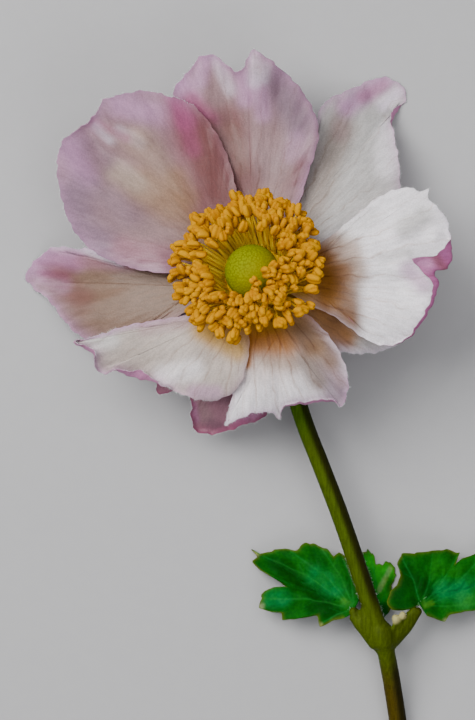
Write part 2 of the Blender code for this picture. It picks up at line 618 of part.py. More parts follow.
def make_stamens(flower, finish):
    """The ring of stamens on their collar, in one body."""
    place = Matrix.Scale(MM, 4) @ bloom_matrix()
    collar = turned("collar", COLLAR_PROFILE, 24, flower, closed=True)
    turn_outward(collar)
    collar.data.transform(Matrix.Scale(MM, 4) @ bloom_matrix() @ Matrix.Scale(1 / MM, 4))
    pieces = []
    for number, (route, direction) in enumerate(stamen_layout()):
        shape = bmesh.new()
        filament_mesh(shape, route)
        bmesh.ops.transform(shape, matrix=place, verts=shape.verts)
        thread = bpy.data.meshes.new(f"filament_{number}")
        shape.to_mesh(thread)
        shape.free()
        pieces.append(new_object(thread.name, thread, flower))
        shape = bmesh.new()
        bmesh.ops.create_icosphere(shape, subdivisions=1, radius=0.5)
        turn = direction.to_track_quat("Z", "X").to_matrix().to_4x4()
        size = Matrix.Diagonal((ANTHER_WIDTH, ANTHER_DEPTH, ANTHER_LENGTH, 1))
        middle = Matrix.Translation(route[-1] + direction * (ANTHER_LENGTH * 0.22))
        bmesh.ops.transform(shape, matrix=place @ middle @ turn @ size, verts=shape.verts)
        pouch = bpy.data.meshes.new(f"anther_{number}")
        shape.to_mesh(pouch)
        shape.free()
        pieces.append(new_object(pouch.name, pouch, flower))
    fuse("stamens", collar, pieces, finish)


def make_tepals(flower, finish):
    for tepal in TEPALS:
        middle = (*tepal.hub, rest_on_surface(sheet_height(tepal.layer, *tepal.hub)))
        blade(tepal.name, middle, tepal_columns(tepal), flower, finish)


def make_leaves(flower, finish):
    for leaf in LEAVES:
        middle = (*leaf.hub, rest_on_surface(leaf_height(leaf, *leaf.hub)))
        blade(leaf.name, middle, leaf_columns(leaf), flower, finish)


def centre_on_surface(flower):
    """Hangs every piece on an empty that brings the middle of the whole box over the origin."""
    bpy.context.view_layer.update()
    corners = []
    for piece in flower.objects:
        shown = piece.evaluated_get(bpy.context.evaluated_depsgraph_get())
        corners += [piece.matrix_world @ vert.co for vert in shown.data.vertices]
    middle = [(min(c[k] for c in corners) + max(c[k] for c in corners)) / 2 for k in (0, 1)]
    bed = bpy.data.objects.new("lying_place", None)
    bpy.context.scene.collection.objects.link(bed)
    for piece in flower.objects:
        piece.parent = bed
    bed.location = (-middle[0], -middle[1], -min(c.z for c in corners))


def main():
    clear_scene()
    flower = bpy.data.collections.new("anemone_flower")
    bpy.context.scene.collection.children.link(flower)
    make_stem(flower, material("stem_green", STEM_COLOUR, 0.55))
    make_carpel_head(flower, material("carpel_green", HEAD_COLOUR, 0.5))
    make_stamens(flower, material("anther_yellow", ANTHER_COLOUR, 0.5))
    make_tepals(flower, material("tepal_pink", TEPAL_COLOUR, 0.45))
    make_leaves(flower, material("leaf_green", LEAF_COLOUR, 0.45))
    centre_on_surface(flower)


main()
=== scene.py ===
"""The looks of a cut garden anemone that lies face up on a pale surface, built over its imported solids.

Shapes are in millimetres from the middle of the bloom as seen from above, like the solids, and are
scaled to metres at the end.
"""

import math
import random
from collections import namedtuple

import bmesh
import bpy
import numpy as np
from mathutils import Matrix, Vector, kdtree


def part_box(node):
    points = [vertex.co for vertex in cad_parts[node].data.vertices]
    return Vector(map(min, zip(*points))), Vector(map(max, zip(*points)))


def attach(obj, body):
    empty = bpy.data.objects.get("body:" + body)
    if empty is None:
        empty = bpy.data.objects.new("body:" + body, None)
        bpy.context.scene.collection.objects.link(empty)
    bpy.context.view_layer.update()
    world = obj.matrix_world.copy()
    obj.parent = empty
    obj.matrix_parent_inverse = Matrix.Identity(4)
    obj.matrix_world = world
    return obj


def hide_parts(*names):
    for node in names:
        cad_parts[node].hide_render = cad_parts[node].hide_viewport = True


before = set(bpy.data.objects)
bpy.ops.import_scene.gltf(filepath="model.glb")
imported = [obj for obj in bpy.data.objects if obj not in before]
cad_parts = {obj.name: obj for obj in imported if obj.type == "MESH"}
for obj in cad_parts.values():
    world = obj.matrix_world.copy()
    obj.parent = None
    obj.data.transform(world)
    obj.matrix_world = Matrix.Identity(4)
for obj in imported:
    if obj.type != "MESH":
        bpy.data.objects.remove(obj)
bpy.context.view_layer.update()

MM = 0.001
BLOOM_LEAN = math.radians(22)
BLOOM_LEAN_TOWARDS = math.radians(128)
BLOOM_HEIGHT = 17.2
BLOOM_CENTRE = np.array((0.55, -1.5))
RECEPTACLE_TOP = -0.35
RECEPTACLE_RADIUS = 3.05
RECEPTACLE_BOTTOM = -6.6
STALK_TOP = -9.0
CLAW_RADIUS = 3.4
CLAW_STRIP = 0.6
LAYER_HEIGHTS = (-5.9, -4.8, -3.7, -2.6)
LAYER_SPREAD = (-3.0, -4.0, 0.0, 1.5)
SHEET_RISE = 0.2
BEND_START = 7.0
SPREAD_REACH = 20.0
BEND_BY_AZIMUTH = (
    (0, 0.012), (30, 0.009), (52, 0.0085), (91, -0.006), (143, -0.006),
    (186, 0.0025), (225, 0.020), (256, 0.034), (284, 0.040), (322, 0.032),
)
# The middle of the button's solid in these millimetres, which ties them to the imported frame.
HEAD_BOX_MIDDLE = (-0.0307, -0.7137)

HEAD_RADIUS = 4.4
HEAD_CENTRE = 2.6
STAMEN_COUNT = 112
STAMEN_SEED = 11
RING_SHIFT = 0.5
RING_SHIFT_TOWARDS = math.radians(135)
STEM_RADIUS = 1.48
STEM_ROUTE = (
    (3.2, -6.0, 7.8), (4.2, -9.0, 7.1), (6.1, -17.0, 7.0), (8.6, -25.3, 6.9), (11.6, -33.0, 6.8),
    (14.4, -40.3, 6.7), (17.4, -49.0, 6.6), (20.4, -58.0, 6.5), (21.6, -61.2, 6.2),
    (22.5, -65.0, 4.9), (23.6, -71.0, 2.9), (24.6, -77.5, 1.37),
)
NODE_CENTRE = (21.4, -60.4, 6.4)
NODE_SIZE = (2.1, 2.9, 2.0)
NODE_TURN = math.radians(19.6)
GOLDEN_ANGLE = math.pi * (3 - math.sqrt(5))

Tepal = namedtuple("Tepal", "name layer claw hub rim curl folds")
Leaf = namedtuple("Leaf", "name foot hub rim lift tilt folds")

# Paths and margins are rows of numbers: x, y, x, y and so on.
#
# Each tepal: the layer it sits in, the stretch of receptacle its claw covers in degrees, the hub that
# its mesh is woven around, its margin from the right-hand side to the left as seen from the middle,
# how that margin curls as (share of the margin, degrees, width), and its lengthwise folds as
# (share, width, height).
TEPALS = (
    Tepal(
        "tepal_upper_right", 1, (33, 69), (8.5, 9.5),
        (
            6.6, 1.2, 14.6, 4.4, 21.6, 9, 24.1, 13, 24.2, 17, 23.6, 21.5, 23.4, 25.2, 24.6, 26.9,
            25.7, 28.7, 25.6, 29.8, 24.6, 30.9, 22.6, 32, 20.3, 31.8, 17.5, 30.5, 14.3, 29, 12.2, 27.8,
            10.9, 25.6, 10.2, 23, 9, 18.5, 7.2, 13, 4.5, 8.5,
        ),
        (
            (0, 0, 1), (0.34, 10, 1), (0.41, 60, 1.2), (0.445, 140, 1.9), (0.475, 150, 2.2),
            (0.5, 100, 1.5), (0.53, 10, 1.2), (0.56, -15, 1), (1, 0, 1),
        ),
        (
            (0.5, 0.07, -1.5), (0.66, 0.08, 0.8), (0.3, 0.1, 0.7),
        ),
    ),
    Tepal(
        "tepal_top", 2, (73, 109), (0, 10),
        (
            4, 6.5, 7.3, 10, 9.1, 15.3, 10.3, 19, 10.9, 22.2, 10.4, 25, 9, 27.8, 7.2, 30.3, 4.5, 32.7,
            1.8, 34.7, 0, 35.5, -0.7, 34.6, -1.3, 32.8, -2.6, 32.1, -4.6, 33.7, -6.8, 35, -8.3, 34.7,
            -10.4, 32.2, -12.7, 29.5, -13.1, 27.5, -12.3, 22, -10, 15, -5, 8,
        ),
        (
            (0, 0, 1), (0.25, -35, 1.2), (0.42, -20, 1.2), (0.5, 30, 1.2), (0.62, 20, 1.2), (1, 0, 1),
        ),
        (
            (0.34, 0.08, -0.8), (0.45, 0.07, 0.9), (0.56, 0.07, -0.7), (0.67, 0.07, 0.8),
        ),
    ),
    Tepal(
        "tepal_upper_left", 3, (125, 161), (-6, 5),
        (
            -1.6, 7.5, -2.4, 11.9, -3.6, 17.1, -6.5, 23.1, -10, 26.8, -13.5, 28, -17.5, 28.9, -21.3, 28.2,
            -24.3, 27.2, -25.6, 25, -28.2, 22.8, -30.8, 20.7, -31.7, 17.5, -31.2, 11.9, -29.4, 6.6,
            -26.5, 3.2, -21.2, 0.5, -15, -0.8, -7.5, -0.6,
        ),
        (
            (0, 0, 1), (0.3, 0, 1), (0.42, 10, 1.2), (0.49, 35, 1.3), (0.56, 5, 1.2), (0.8, -25, 1.2),
            (1, 0, 1),
        ),
        (
            (0.49, 0.05, -1.6), (0.42, 0.06, 1), (0.6, 0.07, 1), (0.14, 0.1, -0.3), (0.86, 0.1, -0.5),
        ),
    ),
    Tepal(
        "tepal_left", 1, (167, 203), (-8.5, -3),
        (
            -7, 1.2, -14, 3.2, -22, 3.6, -28.9, 3.4, -33, 3.7, -35.3, 2.2, -37.2, 0.2, -37.7, -1.4,
            -36.6, -2.8, -33.8, -5, -31.5, -8, -28.9, -10.7, -27, -11.8, -22, -12.2, -14, -8.8, -6.5, -4.8,
        ),
        (
            (0, 0, 1), (0.38, 0, 1), (0.48, 25, 1.2), (0.56, 10, 1.2), (1, 0, 1),
        ),
        (
            (0.5, 0.1, -1), (0.36, 0.08, 0.9), (0.66, 0.09, 0.7),
        ),
    ),
    Tepal(
        "tepal_lower_left", 3, (210, 246), (-5, -8),
        (
            -6.5, -4.6, -10.5, -7.5, -15, -8.4, -20.8, -9.5, -25.1, -11, -29.1, -12.3, -27, -13.2,
            -25.7, -14.6, -25.6, -16.3, -24.9, -17.1, -22, -16.8, -19.6, -17.8, -16.6, -18.4, -13.9, -19.4,
            -10.3, -21, -6.9, -21.6, -4, -20.8, -2, -19, -1.1, -16.5, -0.5, -13.5, -1, -7.5,
        ),
        (
            (0, 0, 1), (0.3, 0, 1), (0.365, 130, 1.8), (0.4, 140, 2.2), (0.44, 90, 1.6), (0.47, 30, 1.2),
            (0.51, 140, 1.9), (0.555, 155, 3), (0.6, 130, 1.8), (0.66, 30, 1.2), (0.75, -25, 1.2),
            (1, -10, 1),
        ),
        ((0.42, 0.1, 0.4), (0.85, 0.12, -0.6)),
    ),
    Tepal(
        "tepal_bottom_back", 0, (237, 273), (-1.5, -9.5),
        (
            -3.2, -5.6, -8, -11, -12.8, -15.9, -15.8, -19.2, -15.3, -20.6, -13.4, -20.3, -11.2, -19.6,
            -10.1, -21.5, -10, -24.5, -9.5, -26.5, -8, -27.2, -4.4, -26.8, -1, -25.5, 1.8, -24.5, 3, -22,
            3.2, -16, 2.4, -9,
        ),
        (
            (0, 0, 1), (0.34, 45, 1.1), (0.4, 0, 1), (0.5, 90, 1.4), (0.62, 60, 1.3), (0.75, 60, 1.2),
            (1, 0, 1),
        ),
        ((0.58, 0.09, -0.8),),
    ),
    Tepal(
        "tepal_bottom", 2, (268, 304), (4.5, -10),
        (
            -1.4, -7, -2.3, -11.9, -2.8, -16, -3.1, -19.2, -3.6, -22.3, -4.3, -25.6, -1.9, -24.4, 1, -23.5,
            3, -23.6, 4.5, -24.5, 5, -22.8, 8.1, -22.2, 11, -21.8, 13, -21.7, 14.3, -22.6, 15.3, -20.8,
            15.5, -18.3, 14.6, -14.8, 12.4, -11.1, 9.4, -8, 5.6, -5.2,
        ),
        (
            (0, 0, 1), (0.32, 10, 1), (0.46, 0, 1), (0.49, 130, 2), (0.55, 145, 2), (0.62, 145, 2),
            (0.66, 90, 1.4), (0.71, 20, 1.2), (0.78, 0, 1), (1, 0, 1),
        ),
        (
            (0.36, 0.05, 0.7), (0.45, 0.05, -0.7), (0.52, 0.03, 0.8), (0.6, 0.05, -0.6), (0.7, 0.04, 0.7),
        ),
    ),
    Tepal(
        "tepal_lower_right_back", 1, (303, 339), (8, -6),
        (
            2.8, -6.5, 6, -10.2, 9.5, -12.6, 13, -13.4, 16.5, -13.9, 19.8, -13.8, 22.7, -12.9, 25, -10.8,
            25, -7.5, 20, -5, 13, -3, 6.5, -2,
        ),
        (
            (0, 0, 1), (0.3, -20, 1), (0.6, -20, 1), (1, 0, 1),
        ),
        ((0.45, 0.15, -0.5),),
    ),
    Tepal(
        "tepal_right", 3, (341, 377), (8.5, -1),
        (
            6.5, -4.4, 9.6, -6.3, 12.7, -7.7, 15.9, -10, 18.9, -12, 22, -12.7, 25, -11.6, 27.2, -9,
            29, -5.8, 29.8, -2.6, 29.3, -0.7, 31.3, -0.3, 32.1, 1.8, 31.9, 5.2, 31.5, 7.4, 30.4, 9.1,
            28.9, 10.5, 28.3, 11.5, 28.6, 12.6, 27.7, 12.3, 25, 12.9, 21.2, 11.8, 16.7, 8.4, 12.6, 5,
            7.5, 2,
        ),
        (
            (0, 0, 1), (0.21, 20, 1.2), (0.26, 140, 1.3), (0.32, 150, 1.6), (0.38, 150, 1.6),
            (0.41, 155, 1.7), (0.43, 160, 2.3), (0.449, 165, 3.6), (0.463, 168, 5.9), (0.476, 168, 5.5),
            (0.49, 165, 4.4), (0.507, 160, 3.5), (0.53, 150, 2.1), (0.549, 90, 1.2), (0.57, 0, 1),
            (0.68, 0, 1), (0.74, 30, 1.2), (0.8, -10, 1), (1, 0, 1),
        ),
        (
            (0.55, 0.035, -1.4), (0.62, 0.04, 1), (0.46, 0.05, 0.8),
        ),
    ),
)

# Each leaf: the foot it grows from, the hub of its mesh, its toothed margin, the height of its foot,
# how the blade slopes along X and Y, and its folds as for the tepals.
LEAVES = (
    Leaf(
        "leaf_left", ((17.4, -55.2), (16.4, -56.9)), (13.8, -54.6),
        (
            17.9, -53.8, 17.1, -51.4, 16.2, -49.2, 15.3, -47.4, 14.4, -46.9, 13.5, -47.5, 12.7, -46.6,
            10.8, -45.8, 9, -45.4, 7.2, -46.6, 5.6, -46.3, 3, -46.9, 1.6, -47.4, 0, -46.6, 0.9, -47.8,
            0.1, -48.5, 1.6, -49.9, 4.5, -51.6, 5.6, -52.4, 3.6, -52.7, 2.2, -53.4, 1.7, -54.3, 1.5, -56.1,
            3.3, -56.7, 4.9, -56.9, 5.1, -57.9, 6.6, -57.8, 8.2, -57.6, 10.8, -57.3, 11.2, -59, 13.6, -57.9,
            15.2, -57.6,
        ),
        6, (0.17, -0.2),
        (
            (0.28, 0.06, 0.6), (0.43, 0.05, -0.5), (0.55, 0.05, 0.6), (0.68, 0.06, -0.4), (0.82, 0.06, 0.5),
        ),
    ),
    Leaf(
        "leaf_right", ((28.3, -56.4), (27.4, -54.9)), (28.9, -54),
        (
            28.9, -57.2, 30.1, -57.6, 31.8, -58.2, 32.5, -57.2, 34.4, -56.7, 36.3, -56.4, 37.9, -56.2,
            38.8, -55.7, 40.4, -55.4, 41.9, -54.6, 41.2, -53.3, 39.6, -52.5, 41.1, -51.5, 42.5, -49.7,
            41.7, -48.4, 40.3, -47.8, 39.6, -46.3, 37.8, -46.9, 36.3, -47.5, 35, -47.9, 33.8, -48.8,
            34.2, -47.2, 32.3, -46.6, 29.8, -46.6, 26.9, -47, 24.7, -47.3, 24.1, -48.7, 24.5, -50.6,
            23.9, -52.2, 22.9, -53.3, 22.4, -54.8, 23, -56.1, 24.6, -56.3, 26.2, -56, 27.3, -55.6,
        ),
        6, (-0.22, -0.2),
        (
            (0.16, 0.05, 0.5), (0.3, 0.05, -0.5), (0.44, 0.06, 0.6), (0.6, 0.05, -0.4), (0.73, 0.05, 0.6),
            (0.9, 0.06, -0.9),
        ),
    ),
    Leaf(
        "leaf_back", ((21.9, -57.6), (20.1, -57.8)), (20.5, -54.5),
        (
            22.8, -56.8, 23.5, -54.6, 23.2, -52.6, 23.8, -51, 23.6, -49.4, 22.5, -48.7, 21.6, -49.3,
            20.6, -49, 20.4, -47.8, 19.4, -46.9, 18, -47.6, 17.2, -48.6, 16.4, -48.2, 15.9, -49.6,
            16.6, -51.5, 16.3, -53, 17.6, -55, 19, -56.8,
        ),
        3, (0, -0.75),
        (),
    ),
)

# Round arms at the node, as the points and radii that each runs through: the short leafstalks that
# sheathe it, and the webs of leaf base between them and the stem. Then the buds in one axil.
SHEATH_RADII = (1.3, 1.05, 0.8)
ARMS = (
    (((21.9, -63, 5.6), (18.6, -59.2, 5.6), (16.55, -56.2, 6)), SHEATH_RADII),
    (((21.6, -62.9, 5.6), (25.2, -59.4, 5.6), (27.5, -56.15, 6)), SHEATH_RADII),
    (((21.3, -61.4, 5.2), (21.2, -59.6, 4.2), (21.05, -58.25, 3.35)), SHEATH_RADII),
    (((20.8, -61.8, 5.9), (18.2, -58.8, 6.1), (16.6, -57.2, 6.1)), (1.5, 1.25, 0.85)),
    (((20.4, -60, 6.2), (19, -58, 6.4), (18.3, -56.2, 6.4)), (1.4, 1.2, 0.9)),
    (((22.6, -61.6, 5.9), (24.6, -59, 6), (27, -56.2, 6)), (1.4, 1.05, 0.8)),
)
BUDS = (
    (((22.6, -61.2, 6.6), (23.3, -59.2, 7.2), (23.6, -57.6, 7.4)), 0.65),
    (((22.9, -61.0, 6.4), (24.2, -58.6, 7.0), (24.8, -57.0, 7.2)), 0.55),
)
BUD_STALK_RADIUS = 0.35

# What each tepal looks like. Colours are linear, and they hold painted light and shade along with the
# tepals' own whites, pinks and lilacs. The body colour turns to the base colour within base_reach of the
# claw and to the blush within blush_reach of the margin, as strongly as the (share of the margin, strength)
# rows say. The base colour is painted warm shade under the stamens with painted light bounced from them.
# Strokes are soft bands of colour: a path, its half width, the colour and its strength; many of them paint
# shadows of overlapping margins and of the stamens, shade in folds and highlights on ridges and rims.
# Creases are a path, its half width and its height. Turned strokes are strokes on the underside.
Look = namedtuple(
    "Look", "body base base_reach blush blush_reach blush_rows underside veins strokes creases turned",
    defaults=((), ()))

WHITE = (0.88, 0.86, 0.90)
# A light grey: painted shade over the white tepals at the right and upper right, and a paler patch on two
# others.
SILVER = (0.52, 0.51, 0.50)
CREAM = (0.44, 0.38, 0.34)
# A pale lilac: the blush of some margins, and painted highlights on ridges, wrinkles and rims.
PALE_LILAC = (0.72, 0.64, 0.76)
LILAC = (0.46, 0.25, 0.43)
# A dull mauve: the tepals' own tone darkened by painted shade.
HEATHER = (0.30, 0.19, 0.20)
# Painted shade over lilac and white parts.
DUSK = (0.25, 0.16, 0.22)
ROSE = (0.34, 0.16, 0.21)
MAGENTA = (0.28, 0.055, 0.14)
# A dark rosy brown: painted shade along overlapping margins and in folds.
WINE = (0.16, 0.05, 0.05)
# Painted deep shade.
PLUM = (0.07, 0.04, 0.06)
SAND = (0.38, 0.27, 0.21)
# Painted warm shade.
TAUPE = (0.27, 0.215, 0.185)
# A tan: the left tepal's own tone darkened by painted shade, and painted shade by the stamens.
FAWN = (0.22, 0.14, 0.10)
# Painted warm shade near the claws and over the middle of the upper left tepal.
OLIVE = (0.27, 0.15, 0.07)
# Amber and ochre: painted warm light bounced from the stamens, mixed with their shade, on the tepals round
# them.
AMBER = (0.40, 0.14, 0.01)
OCHRE = (0.30, 0.12, 0.01)
# Painted deep shade: shadows of the stamens and of overlapping margins.
UMBER = (0.13, 0.05, 0.015)
TURNED_PINK = (0.50, 0.22, 0.40)
# The right tepal's underside, darkened by painted shade where its margin rolls over.
TURNED_DEEP = (0.34, 0.10, 0.25)
# Painted light: a golden glow bounced from the stamens onto the tepals round their claws, and how far it
# reaches.
STAMEN_GLOW = (0.50, 0.27, 0.01)
STAMEN_GLOW_REACH = 9.0
VEIN_REACH = 19.0
VEIN_BROWN = (0.42, 0.24, 0.14, 1)
HAIR_PALE = (0.72, 0.74, 0.74, 1)
HAIR_DULL = (0.60, 0.66, 0.66, 1)

